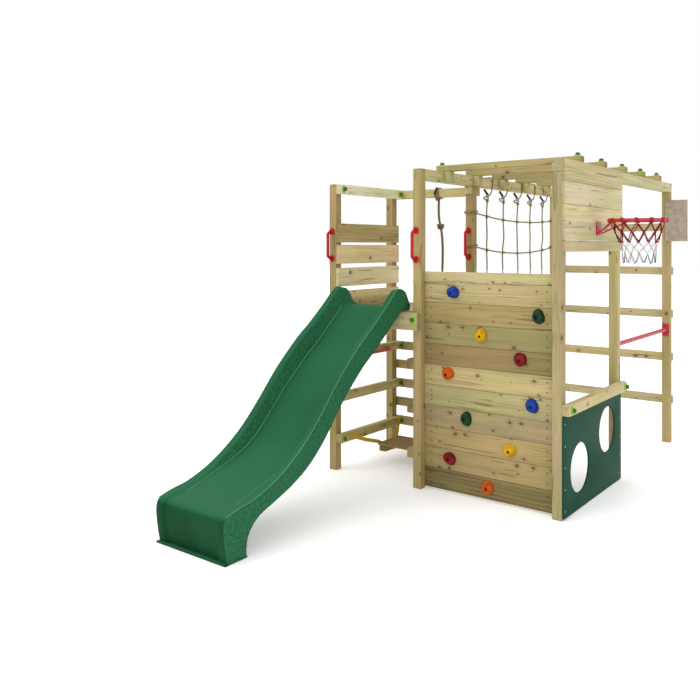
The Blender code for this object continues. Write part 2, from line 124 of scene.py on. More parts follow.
# Slide, as in its CAD solid: rim, bed and lower edge of the side, as (y, z)
SLIDE_X = -1.278
SLIDE_SKIN = 0.006
SLIDE_STATIONS = (
    ((0.060, 1.140), (0.050, 1.131), (0.050, 1.1060)),
    ((0.010, 1.218), (0.000, 1.132), (0.000, 1.1060)),
    ((-0.045, 1.240), (-0.045, 1.131), (-0.040, 1.1062)),
    ((-0.100, 1.228), (-0.100, 1.111), (-0.092, 1.070)),
    ((-0.200, 1.142), (-0.200, 1.026), (-0.200, 0.984)),
    ((-0.340, 1.030), (-0.340, 0.910), (-0.340, 0.880)),
    ((-0.475, 0.932), (-0.475, 0.812), (-0.475, 0.782)),
    ((-0.655, 0.774), (-0.655, 0.656), (-0.655, 0.617)),
    ((-0.800, 0.618), (-0.800, 0.512), (-0.800, 0.454)),
    ((-0.930, 0.490), (-0.930, 0.402), (-0.930, 0.344)),
    ((-1.060, 0.392), (-1.070, 0.334), (-1.060, 0.272)),
    ((-1.200, 0.314), (-1.200, 0.297), (-1.200, 0.219)),
    ((-1.340, 0.264), (-1.340, 0.258), (-1.300, 0.183)),
    ((-1.450, 0.245), (-1.450, 0.238), (-1.355, 0.145)),
    ((-1.530, 0.225), (-1.530, 0.216), (-1.385, 0.105)),
    ((-1.5505, 0.175), (-1.547, 0.165), (-1.397, 0.065)),
    ((-1.543, 0.085), (-1.539, 0.083), (-1.400, 0.030)),
    ((-1.526, 0.000), (-1.522, 0.000), (-1.398, 0.000)),
)


def at(x, y, z):
    """A laid-out point in the frame's coordinates."""
    return ORIGIN + Vector((x, y, z))


def linear(red, green, blue):
    """The surface colour that looks like a display colour, from 0 to 255, under the lamps."""
    made = []
    for value in (red, green, blue):
        share = value / 255
        made.append((share / 12.92 if share <= 0.04045 else ((share + 0.055) / 1.055) ** 2.4) / LIGHT_GAIN)
    return (*made, 1.0)


def smooth_route(points, steps):
    """Points of a Catmull-Rom curve through the given ones, with steps between each pair."""
    knots = [Vector(point) for point in points]
    knots = [2 * knots[0] - knots[1]] + knots + [2 * knots[-1] - knots[-2]]
    made = []
    for index in range(1, len(knots) - 2):
        before, start, end, after = knots[index - 1 : index + 3]
        for step in range(steps):
            t = step / steps
            bend = (2 * before - 5 * start + 4 * end - after) * t**2
            turn = (3 * start - before - 3 * end + after) * t**3
            made.append(0.5 * (2 * start + (end - before) * t + bend + turn))
    made.append(knots[-2])
    return made


def length_of(points):
    return sum((after - before).length for before, after in zip(points, points[1:]))


# ---------------------------------------------------------------- node helpers


def put(tree, kind, inputs=None, **settings):
    """Adds a node. Settings are its own options, and inputs are values or sockets."""
    node = tree.nodes.new(kind)
    for name, value in settings.items():
        setattr(node, name, value)
    for key, value in (inputs or {}).items():
        if isinstance(value, bpy.types.NodeSocket):
            tree.links.new(value, node.inputs[key])
        else:
            node.inputs[key].default_value = value
    return node


def calc(tree, operation, first, second=0.0, third=0.0):
    inputs = {0: first, 1: second, 2: third}
    return put(tree, "ShaderNodeMath", inputs, operation=operation).outputs[0]


def remap(tree, value, low, high, to_low=0.0, to_high=1.0):
    """A smooth step of value from low to high."""
    inputs = {"Value": value, "From Min": low, "From Max": high}
    inputs["To Min"] = to_low
    inputs["To Max"] = to_high
    return put(tree, "ShaderNodeMapRange", inputs, interpolation_type="SMOOTHSTEP").outputs[0]


def stretch(tree, place, scale):
    return put(tree, "ShaderNodeMapping", {"Vector": place, "Scale": scale}).outputs[0]


def noise_of(tree, place, scale, detail=3.0, roughness=0.5):
    inputs = {"Vector": place, "Scale": scale, "Detail": detail, "Roughness": roughness}
    return put(tree, "ShaderNodeTexNoise", inputs)


def mix_colours(tree, factor, first, second, blend="MIX"):
    inputs = {0: factor, 6: first, 7: second}
    return put(tree, "ShaderNodeMix", inputs, data_type="RGBA", blend_type=blend).outputs[2]


def ramp(tree, value, stops):
    """A colour ramp of (position, grey or colour) stops."""
    node = put(tree, "ShaderNodeValToRGB", {0: value})
    elements = node.color_ramp.elements
    while len(elements) < len(stops):
        elements.new(0.5)
    for element, (position, colour) in zip(elements, stops):
        element.position = position
        element.color = colour if isinstance(colour, tuple) else (colour,) * 3 + (1.0,)
    return node.outputs[0]


def new_material(name, roughness=0.5, metallic=0.0, specular=0.5):
    """A material with its tree, its shader and its object coordinates."""
    made = bpy.data.materials.new(name)
    made.use_nodes = True
    tree = made.node_tree
    shader = tree.nodes["Principled BSDF"]
    shader.inputs["Roughness"].default_value = roughness
    shader.inputs["Metallic"].default_value = metallic
    shader.inputs["Specular IOR Level"].default_value = specular
    place = put(tree, "ShaderNodeTexCoord").outputs["Object"]
    return made, tree, shader, place


def bump(tree, shader, height, distance, strength=1.0):
    inputs = {"Height": height, "Distance": distance, "Strength": strength}
    node = put(tree, "ShaderNodeBump", inputs)
    tree.links.new(node.outputs[0], shader.inputs["Normal"])


# ---------------------------------------------------------------- timber


def make_grain_group():
    """Sawn softwood whose grain runs along Z: growth rings, fibres, knots, checks and tint."""
    tree = bpy.data.node_groups.new("timber_grain", "ShaderNodeTree")
    sockets = tree.interface
    sockets.new_socket("Place", in_out="INPUT", socket_type="NodeSocketVector")
    for name in ("Light", "Dark"):
        sockets.new_socket(name, in_out="INPUT", socket_type="NodeSocketColor")
    for name in ("Rings", "Contrast", "Knots", "Wander", "Bend"):
        sockets.new_socket(name, in_out="INPUT", socket_type="NodeSocketFloat")
    sockets.new_socket("Colour", in_out="OUTPUT", socket_type="NodeSocketColor")
    for name in ("Roughness", "Height"):
        sockets.new_socket(name, in_out="OUTPUT", socket_type="NodeSocketFloat")
    given = tree.nodes.new("NodeGroupInput").outputs
    place = given["Place"]

    # The whole pattern wanders slowly sideways along the length
    drift = noise_of(tree, stretch(tree, place, (1.0, 1.0, 0.4)), 4.5, 1.5).outputs["Color"]
    centred = {0: drift, 1: (0.5, 0.5, 0.5)}
    drift = put(tree, "ShaderNodeVectorMath", centred, operation="SUBTRACT").outputs[0]
    drift = put(tree, "ShaderNodeVectorMath", {0: drift, "Scale": given["Wander"]}, operation="SCALE").outputs[0]
    bent = put(tree, "ShaderNodeVectorMath", {0: place, 1: drift}, operation="ADD").outputs[0]

    # Knots: x + y runs across every face of a squared timber, so a knot is round on each
    parts = put(tree, "ShaderNodeSeparateXYZ", {0: place}).outputs
    across = calc(tree, "ADD", parts[0], parts[1])
    along = calc(tree, "MULTIPLY", parts[2], 0.8)
    flat = put(tree, "ShaderNodeCombineXYZ", {0: across, 1: along}).outputs[0]
    ragged = noise_of(tree, place, 60.0, 2.0).outputs[0]
    inputs = {"Vector": flat, "Scale": given["Knots"]}
    cells = put(tree, "ShaderNodeTexVoronoi", inputs, voronoi_dimensions="2D")
    chance = put(tree, "ShaderNodeSeparateColor", {0: cells.outputs["Color"]}).outputs
    size = calc(tree, "MULTIPLY_ADD", calc(tree, "MULTIPLY", chance[0], chance[0]), 0.085, 0.030)
    size = calc(tree, "MULTIPLY", size, calc(tree, "MULTIPLY_ADD", ragged, 1.1, 0.45))
    there = remap(tree, chance[1], 0.34, 0.36)
    apart = calc(tree, "DIVIDE", cells.outputs["Distance"], size)
    knot = calc(tree, "MULTIPLY", remap(tree, apart, 0.70, 1.05, 1.0, 0.0), there)
    halo = calc(tree, "MULTIPLY", remap(tree, apart, 0.6, 3.2, 1.0, 0.0), there)

    # Growth rings run round the grain axis, and bend round the knots
    inputs = {
        "Vector": stretch(tree, bent, (1.0, 1.0, 0.05)),
        "Scale": given["Rings"],
        "Distortion": given["Bend"],
        "Detail": 3.0,
        "Detail Scale": 0.30,
        "Phase Offset": calc(tree, "MULTIPLY", halo, 5.0),
    }
    kind = {"wave_type": "RINGS", "rings_direction": "Z", "wave_profile": "SAW"}
    wave = put(tree, "ShaderNodeTexWave", inputs, **kind).outputs["Fac"]
    late = ramp(tree, wave, ((0.0, 0.10), (0.30, 0.0), (0.66, 0.45), (0.88, 1.0), (0.97, 0.30)))
    patches = noise_of(tree, stretch(tree, place, (1.0, 1.0, 0.2)), 11.0, 2.0).outputs[0]
    strength = calc(tree, "MULTIPLY", remap(tree, patches, 0.34, 0.70, 0.12, 1.0), given["Contrast"])
    late = calc(tree, "MULTIPLY", late, strength)

    # Fine fibres, broad streaks and a few drying checks, all drawn out along the grain
    fibre = noise_of(tree, stretch(tree, bent, (1.0, 1.0, 0.03)), 210.0, 4.0, 0.6).outputs[0]
    streak = noise_of(tree, stretch(tree, bent, (1.0, 1.0, 0.05)), 34.0, 2.0).outputs[0]
    check = noise_of(tree, stretch(tree, bent, (1.0, 1.0, 0.05)), 62.0, 1.0).outputs[0]
    check = remap(tree, check, 0.68, 0.73)
    tint = noise_of(tree, stretch(tree, place, (1.0, 1.0, 0.5)), 4.0, 3.0).outputs[0]

    colour = mix_colours(tree, late, given["Light"], given["Dark"])
    green = mix_colours(tree, 1.0, colour, (0.84, 0.97, 0.76, 1.0), "MULTIPLY")
    colour = mix_colours(tree, remap(tree, tint, 0.36, 0.66, 0.0, 0.85), colour, green)
    shade = calc(tree, "MULTIPLY_ADD", streak, 0.56, 0.72)
    shade = calc(tree, "MULTIPLY", shade, calc(tree, "MULTIPLY_ADD", fibre, 0.34, 0.83))
    shade = calc(tree, "MULTIPLY", shade, calc(tree, "MULTIPLY_ADD", check, -0.42, 1.0))
    shade = calc(tree, "MULTIPLY", shade, calc(tree, "MULTIPLY_ADD", halo, -0.22, 1.0))
    grey = put(tree, "ShaderNodeCombineXYZ", {0: shade, 1: shade, 2: shade}).outputs[0]
    colour = mix_colours(tree, 1.0, colour, grey, "MULTIPLY")
    inside = mix_colours(tree, remap(tree, apart, 0.2, 0.9), linear(112, 84, 46), linear(66, 50, 26))
    colour = mix_colours(tree, calc(tree, "MULTIPLY", knot, 0.82), colour, inside)

    rough = calc(tree, "MULTIPLY_ADD", late, -0.12, 0.74)
    rough = calc(tree, "MULTIPLY_ADD", fibre, 0.10, rough)
    height = calc(tree, "MULTIPLY_ADD", late, 0.35, calc(tree, "MULTIPLY", fibre, 0.55))
    height = calc(tree, "MULTIPLY_ADD", check, -0.8, height)
    height = calc(tree, "MULTIPLY_ADD", knot, 0.5, height)
    put(tree, "NodeGroupOutput", {"Colour": colour, "Roughness": rough, "Height": height})
    return tree


GRAIN = make_grain_group()
AXES = "XYZ"
TURN_TO_GRAIN = {"X": (0.0, -math.pi / 2, 0.0), "Y": (math.pi / 2, 0.0, 0.0), "Z": (0.0, 0.0, 0.0)}
LATE_WOOD = (0.56, 0.50, 0.40)
TIMBER_GAIN = 1.10
END_GRAIN = (0.72, 0.68, 0.62, 1.0)


def timber_material(
    name, axis, tone, seed, centre=(0, 0, 0), rings=36.0, contrast=0.62, knots=8.5, bend=1.6
):
    """Softwood with its grain along axis, its pith to one side of centre, in a display tone."""
    dice = random.Random(seed)
    made, tree, shader, place = new_material(name, specular=0.30)
    turn = Euler(TURN_TO_GRAIN[axis])
    swing = dice.uniform(0, 2 * math.pi)
    away = dice.uniform(0.03, 0.09)
    pith = Vector((away * math.cos(swing), away * math.sin(swing), dice.uniform(-3, 3)))
    shift = pith - turn.to_matrix() @ Vector(centre)
    inputs = {"Vector": place, "Location": shift, "Rotation": turn}
    mapped = put(tree, "ShaderNodeMapping", inputs).outputs[0]
    warm = dice.uniform(-0.05, 0.05)
    red, green, blue, _ = linear(*tone)
    light = (red * (1 + warm), green, blue * (1 - 1.5 * warm))
    group = put(tree, "ShaderNodeGroup", node_tree=GRAIN)
    tree.links.new(mapped, group.inputs["Place"])
    group.inputs["Light"].default_value = [min(1.0, value * TIMBER_GAIN) for value in light] + [1.0]
    group.inputs["Dark"].default_value = [value * part for value, part in zip(light, LATE_WOOD)] + [1.0]
    group.inputs["Rings"].default_value = rings * dice.uniform(0.85, 1.15)
    group.inputs["Contrast"].default_value = contrast * dice.uniform(0.8, 1.15)
    group.inputs["Knots"].default_value = knots
    group.inputs["Wander"].default_value = dice.uniform(0.02, 0.05)
    group.inputs["Bend"].default_value = bend * dice.uniform(0.8, 1.2)
    normal = put(tree, "ShaderNodeTexCoord").outputs["Normal"]
    facing = put(tree, "ShaderNodeSeparateXYZ", {0: normal}).outputs[AXES.index(axis)]
    at_end = remap(tree, calc(tree, "ABSOLUTE", facing), 0.90, 0.98)
    colour = mix_colours(tree, at_end, group.outputs["Colour"], END_GRAIN, "MULTIPLY")
    tree.links.new(colour, shader.inputs["Base Color"])
    tree.links.new(group.outputs["Roughness"], shader.inputs["Roughness"])
    bump(tree, shader, group.outputs["Height"], 0.0012)
    return made


# ---------------------------------------------------------------- other materials


def moulded_plastic(name, tone, deep, roughness, grain=0.00008, specular=0.35, top=None, side=None):
    """Pigmented plastic: slow mottling, a fine texture, uneven gloss, and, where top and side colours are given,
    painted light on faces turned up and sideways.
    """
    made, tree, shader, place = new_material(name, roughness, specular=specular)
    cloud = noise_of(tree, place, 4.0, 4.0).outputs[0]
    fine = noise_of(tree, place, 90.0, 5.0, 0.65).outputs[0]
    colour = mix_colours(tree, remap(tree, cloud, 0.30, 0.72), linear(*tone), linear(*deep))
    # Painted light: faces turned up blend towards the lighter top colour, and faces turned sideways along X blend
    # towards the side colour in flecks.
    if top:
        normal = put(tree, "ShaderNodeTexCoord").outputs["Normal"]
        facing = put(tree, "ShaderNodeSeparateXYZ", {0: normal}).outputs
        colour = mix_colours(tree, remap(tree, facing[2], 0.25, 1.0), colour, linear(*top))
        flecks = noise_of(tree, place, 75.0, 4.0, 0.7).outputs[0]
        flecks = remap(tree, flecks, 0.36, 0.66, 0.35, 1.0)
        painted_side_light = remap(tree, calc(tree, "ABSOLUTE", facing[0]), 0.55, 0.90)
        colour = mix_colours(tree, calc(tree, "MULTIPLY", painted_side_light, flecks), colour, linear(*side))
    dust = calc(tree, "MULTIPLY_ADD", fine, 0.24, 0.88)
    grey = put(tree, "ShaderNodeCombineXYZ", {0: dust, 1: dust, 2: dust}).outputs[0]
    colour = mix_colours(tree, 1.0, colour, grey, "MULTIPLY")
    tree.links.new(colour, shader.inputs["Base Color"])
    rough = calc(tree, "MULTIPLY_ADD", fine, 0.16, roughness - 0.08)
    tree.links.new(rough, shader.inputs["Roughness"])
    pebble = noise_of(tree, place, 700.0, 2.0).outputs[0]
    bump(tree, shader, calc(tree, "ADD", pebble, fine), grain)
    return made


def resin(name, tone, deep):
    """Cast resin and sand: speckled, matt and rough to the hand."""
    made, tree, shader, place = new_material(name, 0.55, specular=0.2)
    cloud = noise_of(tree, place, 28.0, 4.0).outputs[0]
    speck = put(tree, "ShaderNodeTexVoronoi", {"Vector": place, "Scale": 420.0}).outputs["Distance"]
    colour = mix_colours(tree, remap(tree, cloud, 0.35, 0.68), linear(*tone), linear(*deep))
    dots = remap(tree, speck, 0.10, 0.28, 0.72, 1.0)
    grey = put(tree, "ShaderNodeCombineXYZ", {0: dots, 1: dots, 2: dots}).outputs[0]
    colour = mix_colours(tree, 1.0, colour, grey, "MULTIPLY")
    tree.links.new(colour, shader.inputs["Base Color"])
    tree.links.new(calc(tree, "MULTIPLY_ADD", cloud, 0.25, 0.38), shader.inputs["Roughness"])
    bump(tree, shader, calc(tree, "ADD", speck, cloud), 0.0006)
    return made


def metal(name, tone, worn, roughness, metallic):
    """Painted or bare metal with faint scuffs."""
    made, tree, shader, place = new_material(name, roughness, metallic)
    cloud = noise_of(tree, place, 35.0, 5.0, 0.6).outputs[0]
    scuff = noise_of(tree, stretch(tree, place, (1.0, 0.2, 1.0)), 160.0, 3.0).outputs[0]
    wear = calc(tree, "MULTIPLY", remap(tree, scuff, 0.60, 0.74), 0.5)
    colour = mix_colours(tree, remap(tree, cloud, 0.35, 0.7), linear(*tone), linear(*worn))
    colour = mix_colours(tree, wear, colour, linear(*worn))
    tree.links.new(colour, shader.inputs["Base Color"])
    tree.links.new(calc(tree, "MULTIPLY_ADD", cloud, 0.3, roughness - 0.15), shader.inputs["Roughness"])
    bump(tree, shader, cloud, 0.0002)
    return made


def fibre_rope(name, tone, deep, scale=260.0):
    """Twisted rope: dark between the strands, with fine hairy fibres."""
    made, tree, shader, place = new_material(name, 0.9, specular=0.2)
    hair = noise_of(tree, stretch(tree, place, (1.0, 1.0, 0.45)), scale, 4.0, 0.7).outputs[0]
    cloud = noise_of(tree, place, 14.0, 3.0).outputs[0]
    colour = mix_colours(tree, remap(tree, hair, 0.32, 0.68), linear(*deep), linear(*tone))
    shade = calc(tree, "MULTIPLY_ADD", cloud, 0.5, 0.75)
    grey = put(tree, "ShaderNodeCombineXYZ", {0: shade, 1: shade, 2: shade}).outputs[0]
    colour = mix_colours(tree, 1.0, colour, grey, "MULTIPLY")
    tree.links.new(colour, shader.inputs["Base Color"])
    tree.links.new(calc(tree, "MULTIPLY_ADD", hair, 0.15, 0.8), shader.inputs["Roughness"])
    bump(tree, shader, hair, 0.0008)
    return made


def webbing(name, tone, deep):
    """Flat woven strap, with ribs across its width."""
    made, tree, shader, place = new_material(name, 0.8, specular=0.25)
    across = put(
        tree, "ShaderNodeTexWave", {"Vector": place, "Scale": 150.0, "Distortion": 0.6}, bands_direction="X"
    ).outputs["Fac"]
    along = put(
        tree, "ShaderNodeTexWave", {"Vector": place, "Scale": 110.0, "Distortion": 0.6}, bands_direction="Y"
    ).outputs["Fac"]
    weave = calc(tree, "MULTIPLY", across, along)
    cloud = noise_of(tree, place, 40.0, 3.0).outputs[0]
    colour = mix_colours(tree, weave, linear(*deep), linear(*tone))
    colour = mix_colours(tree, calc(tree, "MULTIPLY", cloud, 0.5), colour, linear(*deep))
    tree.links.new(colour, shader.inputs["Base Color"])
    tree.links.new(calc(tree, "MULTIPLY_ADD", weave, -0.1, 0.85), shader.inputs["Roughness"])
    bump(tree, shader, weave, 0.0006)
    return made


MATERIALS = {
    # The slide's top and side colours are painted light: lighter green on faces turned up and on faces turned sideways.
    "slide": moulded_plastic(
        "slide_plastic", (22, 76, 44), (16, 66, 36), 0.5, specular=0.05, top=(44, 108, 72), side=(54, 122, 86)
    ),
    # Lighter green for the beads along the slide's rims: a painted highlight.
    "slide_painted_highlight": moulded_plastic("slide_painted_highlight_plastic", (84, 150, 112), (70, 136, 98), 0.45, specular=0.1),
    "panel": moulded_plastic("panel_plastic", (34, 80, 62), (28, 72, 54), 0.55, specular=0.05),
    "cap": moulded_plastic("cap_plastic", (150, 190, 70), (122, 168, 48), 0.38, specular=0.2),
    "lid": moulded_plastic("cap_lid_plastic", (58, 116, 22), (40, 92, 12), 0.38, specular=0.2),
    "grip": moulded_plastic("grip_plastic", (206, 24, 42), (176, 14, 32), 0.35, specular=0.2),
    "black": moulded_plastic("black_plastic", (34, 34, 36), (20, 20, 22), 0.45, specular=0.2),
    "red": metal("red_paint", (206, 38, 56), (176, 26, 44), 0.42, 0.0),
    "steel": metal("zinc_steel", (196, 198, 200), (150, 152, 156), 0.32, 1.0),
    "dark_steel": metal("dark_steel", (74, 70, 66), (40, 38, 36), 0.5, 0.6),
    "sign": metal("sign_plate", (182, 166, 148), (162, 144, 124), 0.62, 0.0),
    "rope": fibre_rope("hemp_rope", (150, 126, 94), (84, 68, 48)),
    "net": fibre_rope("net_rope", (182, 158, 122), (116, 96, 68), 340.0),
    "net_red": fibre_rope("net_red_cord", (206, 50, 66), (140, 22, 36), 420.0),
    "net_white": fibre_rope("net_white_cord", (236, 232, 232), (190, 184, 186), 420.0),
    "net_blue": fibre_rope("net_blue_cord", (44, 52, 108), (18, 22, 60), 420.0),
    "strap": webbing("yellow_webbing", (240, 200, 50), (196, 156, 30)),
    "hold_blue": resin("resin_blue", (16, 64, 160), (8, 38, 112)),
    "hold_green": resin("resin_green", (18, 62, 34), (8, 38, 18)),
    "hold_yellow": resin("resin_yellow", (222, 172, 4), (186, 134, 0)),
    "hold_red": resin("resin_red", (140, 12, 16), (92, 4, 8)),
    "hold_orange": resin("resin_orange", (212, 92, 8), (166, 62, 4)),
}


def sun(direction, strength, spread):
    """Light from far off, softened by its spread in degrees."""
    data = bpy.data.lights.new("sun", "SUN")
    data.energy = strength
    data.angle = math.radians(spread)
    light = bpy.data.objects.new("sun", data)
    light.rotation_euler = Vector(direction).to_track_quat("-Z", "Y").to_euler()
    bpy.context.scene.collection.objects.link(light)


# ---------------------------------------------------------------- mesh helpers


def frames_along(points, closed):
    """At each point of a line, the point and two directions across it, turning as little as they can."""
    count = len(points)
    made = []
    side = None
    for index, point in enumerate(points):
        if closed:
            tangent = points[(index + 1) % count] - points[index - 1]
        else:
            tangent = points[min(index + 1, count - 1)] - points[max(index - 1, 0)]
        tangent.normalize()
        side = tangent.orthogonal() if side is None else side - tangent * side.dot(tangent)
        side.normalize()
        made.append((point, side, tangent.cross(side)))
    return made


class Shape:
    """A mesh under construction, in the frame's coordinates."""

    def __init__(self):
        self.mesh = bmesh.new()

    def block(self, low, high, bevel=0.002, wobble=0.0, seed=0):
        """A squared piece with rounded edges, bent by up to wobble along its length."""
        low, high = Vector(low), Vector(high)
        size = high - low
        matrix = Matrix.Translation((low + high) / 2) @ Matrix.Diagonal((*size, 1.0))
        corners = bmesh.ops.create_cube(self.mesh, size=1.0, matrix=matrix)["verts"]
        long = max(range(3), key=lambda axis: size[axis])
        faces = {face for vert in corners for face in vert.link_faces}
        edges = {edge for vert in corners for edge in vert.link_edges}
        if wobble:
            cuts = max(2, round(size[long] / 0.08))
            normal = Vector((0.0, 0.0, 0.0))
            normal[long] = 1.0
            for cut in range(1, cuts):
                place = low.copy()
                place[long] += size[long] * cut / cuts
                geometry = list(corners) + list(edges) + list(faces)
                made = bmesh.ops.bisect_plane(self.mesh, geom=geometry, plane_co=place, plane_no=normal)
                corners = {item for item in made["geom"] if isinstance(item, bmesh.types.BMVert)}
                corners |= {item for item in made["geom_cut"] if isinstance(item, bmesh.types.BMVert)}
                faces = {face for vert in corners for face in vert.link_faces}
                edges = {edge for vert in corners for edge in vert.link_edges}
            for vert in corners:
                shift = noise.noise_vector(vert.co * 2.3 + Vector((seed * 7.1, seed * 3.3, 0.0)))
                shift[long] = 0.0
                vert.co += shift * wobble
        sharp = [edge for edge in edges if len(edge.link_faces) == 2 and edge.calc_face_angle() > 0.5]
        bmesh.ops.bevel(
            self.mesh, geom=sharp, offset=bevel, segments=2, profile=0.5, affect="EDGES", clamp_overlap=True
        )

    def turned(self, profile, start, direction, sides=20, squash=1.0):
        """A profile of (radius, height) points turned round an axis from start."""
        direction = Vector(direction).normalized()
        across = direction.orthogonal().normalized()
        other = direction.cross(across) * squash
        rings = []
        for radius, height in profile:
            centre = Vector(start) + direction * height
            if radius < 1e-6:
                rings.append([self.mesh.verts.new(centre)])
                continue
            ring = []
            for step in range(sides):
                angle = 2 * math.pi * step / sides
                ring.append(
                    self.mesh.verts.new(centre + (across * math.cos(angle) + other * math.sin(angle)) * radius)
                )
            rings.append(ring)
        for near, far in zip(rings, rings[1:]):
            for step in range(sides):
                after = (step + 1) % sides
                corners = [near[step % len(near)], near[after % len(near)]]
                corners += [far[after % len(far)], far[step % len(far)]]
                kept = list(dict.fromkeys(corners))
                if len(kept) > 2:
                    self.mesh.faces.new(kept)
        for ring, flip in ((rings[0], True), (rings[-1], False)):
            if len(ring) > 1:
                self.mesh.faces.new(list(reversed(ring)) if flip else ring)

    def tube(self, points, radius, sides=12, closed=False, strands=0, pitch=0.05, depth=0.22):
        """A round bar or a twisted rope along points. The radius may be a function of the share run."""
        whole = max(length_of(points), 1e-6)
        run = 0.0
        rings = []
        for index, (point, side, other) in enumerate(frames_along(points, closed)):
            if index:
                run += (point - points[index - 1]).length
            reach = radius(run / whole) if callable(radius) else radius
            turn = 2 * math.pi * run / pitch if strands else 0.0
            ring = []
            for step in range(sides):
                angle = 2 * math.pi * step / sides
                out = reach
                if strands:
                    out *= 1 - depth * (1 - abs(math.cos(strands * angle / 2)))
                spun = angle + turn
                ring.append(
                    self.mesh.verts.new(point + (side * math.cos(spun) + other * math.sin(spun)) * out)
                )
            rings.append(ring)
        pairs = list(zip(rings, rings[1:]))
        if closed:
            pairs.append((rings[-1], rings[0]))
        for near, far in pairs:
            for step in range(sides):
                after = (step + 1) % sides
                self.mesh.faces.new((near[step], near[after], far[after], far[step]))
        if not closed:
            self.mesh.faces.new(list(reversed(rings[0])))
            self.mesh.faces.new(rings[-1])

    def coil(self, centre, axis, radius, turns, height, wire, start=0.0, sides=8):
        """A few turns of cord wound round an axis."""
        axis = Vector(axis).normalized()
        across = axis.orthogonal().normalized()
        other = axis.cross(across)
        steps = int(14 * turns)
        points = []
        for step in range(steps + 1):
            share = step / steps
            angle = start + 2 * math.pi * turns * share
            out = (across * math.cos(angle) + other * math.sin(angle)) * radius
            points.append(Vector(centre) + out + axis * height * (share - 0.5))
        self.tube(points, wire, sides)

    def done(self, name, material, body="frame", nodes=(), slot=None, angle=35.0):
        """Makes the piece, which rides on its body and may stand for CAD nodes."""
        bmesh.ops.recalc_face_normals(self.mesh, faces=self.mesh.faces)
        data = bpy.data.meshes.new(name)
        self.mesh.to_mesh(data)
        self.mesh.free()
        data.materials.append(material)
        data.shade_smooth()
        data.set_sharp_from_angle(angle=math.radians(angle))
        made = bpy.data.objects.new(name, data)
        bpy.context.scene.collection.objects.link(made)
        if body:
            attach(made, body)
        if nodes:
            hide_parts(*nodes)
        return made


def rounded_loop(centre, first, second, half_first, half_second, corner, steps=6):
    """A closed rounded rectangle round centre, in the plane of two directions."""
    first, second = Vector(first), Vector(second)
    points = []
    for quarter, (one, two) in enumerate(((1, 1), (-1, 1), (-1, -1), (1, -1))):
        middle = first * (half_first - corner) * one + second * (half_second - corner) * two
        for step in range(steps + 1):
            angle = math.pi / 2 * (quarter + step / steps)
            out = first * math.cos(angle) + second * math.sin(angle)
            points.append(Vector(centre) + middle + out * corner)
    return points


def close_points(points, spacing):
    """The same line with points no further apart than spacing."""
    made = []
    for before, after in zip(points, points[1:]):
        parts = max(1, math.ceil((after - before).length / spacing))
        made += [before.lerp(after, part / parts) for part in range(parts)]
    return made + [points[-1]]


# ---------------------------------------------------------------- camera and light


def make_camera():
    data = bpy.data.cameras.new("camera")
    data.lens = CAMERA_LENS
    data.shift_x, data.shift_y = CAMERA_SHIFT
    camera = bpy.data.objects.new("camera", data)
    camera.location = at(*CAMERA_PLACE)
    camera.rotation_euler = (math.pi / 2, 0.0, CAMERA_TURN)
    bpy.context.scene.collection.objects.link(camera)
    bpy.context.scene.camera = camera


def make_studio():
    """A white room with a broad light from the front left, and a white paper floor."""
    world = bpy.data.worlds.new("studio")
    world.use_nodes = True
    world.node_tree.nodes["Background"].inputs["Color"].default_value = (1.0, 1.0, 1.0, 1.0)
    world.node_tree.nodes["Background"].inputs["Strength"].default_value = 1.0
    bpy.context.scene.world = world
    bpy.context.scene.view_settings.view_transform = "Standard"
    sun((0.32, 0.66, -0.76), 1.0, 50.0)
    shape = bmesh.new()
    bmesh.ops.create_grid(shape, x_segments=1, y_segments=1, size=40.0)
    data = bpy.data.meshes.new("floor")
    shape.to_mesh(data)
    shape.free()
    floor = bpy.data.objects.new("floor", data)
    bpy.context.scene.collection.objects.link(floor)
    made, tree, shader, place = new_material("floor_paper", 0.9, specular=0.1)
    shade = noise_of(tree, place, 1.2, 2.0).outputs[0]
    colour = mix_colours(tree, shade, (0.96, 0.96, 0.96, 1.0), (0.93, 0.93, 0.93, 1.0))
    tree.links.new(colour, shader.inputs["Base Color"])
    shader.inputs["Emission Color"].default_value = (1.0, 1.0, 1.0, 1.0)
    shader.inputs["Emission Strength"].default_value = 0.22
    data.materials.append(made)


# ---------------------------------------------------------------- climbing rope


def knot_points(centre, size, squash=1.0):
    """A trefoil, pulled tight, that reads as an overhand knot."""
    points = []
    for step in range(54):
        angle = 2 * math.pi * step / 54
        x = math.sin(angle) + 2 * math.sin(2 * angle)
        y = math.cos(angle) - 2 * math.cos(2 * angle)
        z = -math.sin(3 * angle) * 1.4
        points.append(Vector(centre) + Vector((x, z, y * squash)) * size)
    return points


def make_climbing_rope():
    route = [at(*point) for point in ROPE_ROUTE]
    path = smooth_route(route, ROPE_STEPS)
    rope = Shape()
    rope.tube(path, ROPE_WIDE / 2, 18, strands=3, pitch=ROPE_PITCH, depth=0.20)
    rope = rope.done("climbing_rope_twisted", MATERIALS["rope"], nodes=["climbing_rope"], slot="rope", angle=80)
    for number, height in enumerate(ROPE_KNOTS + (route[-1].z + 0.012,), start=1):
        nearest = min(path, key=lambda point: abs(point.z - height))
        lump = Shape()
        lump.tube(knot_points(nearest, 0.0084, 0.62), 0.0088, 12, closed=True, strands=3, pitch=0.045, depth=0.16)
        lump.done(f"rope_knot_{number}", MATERIALS["rope"], slot="rope", angle=80)
    make_rope_sling(route[0])


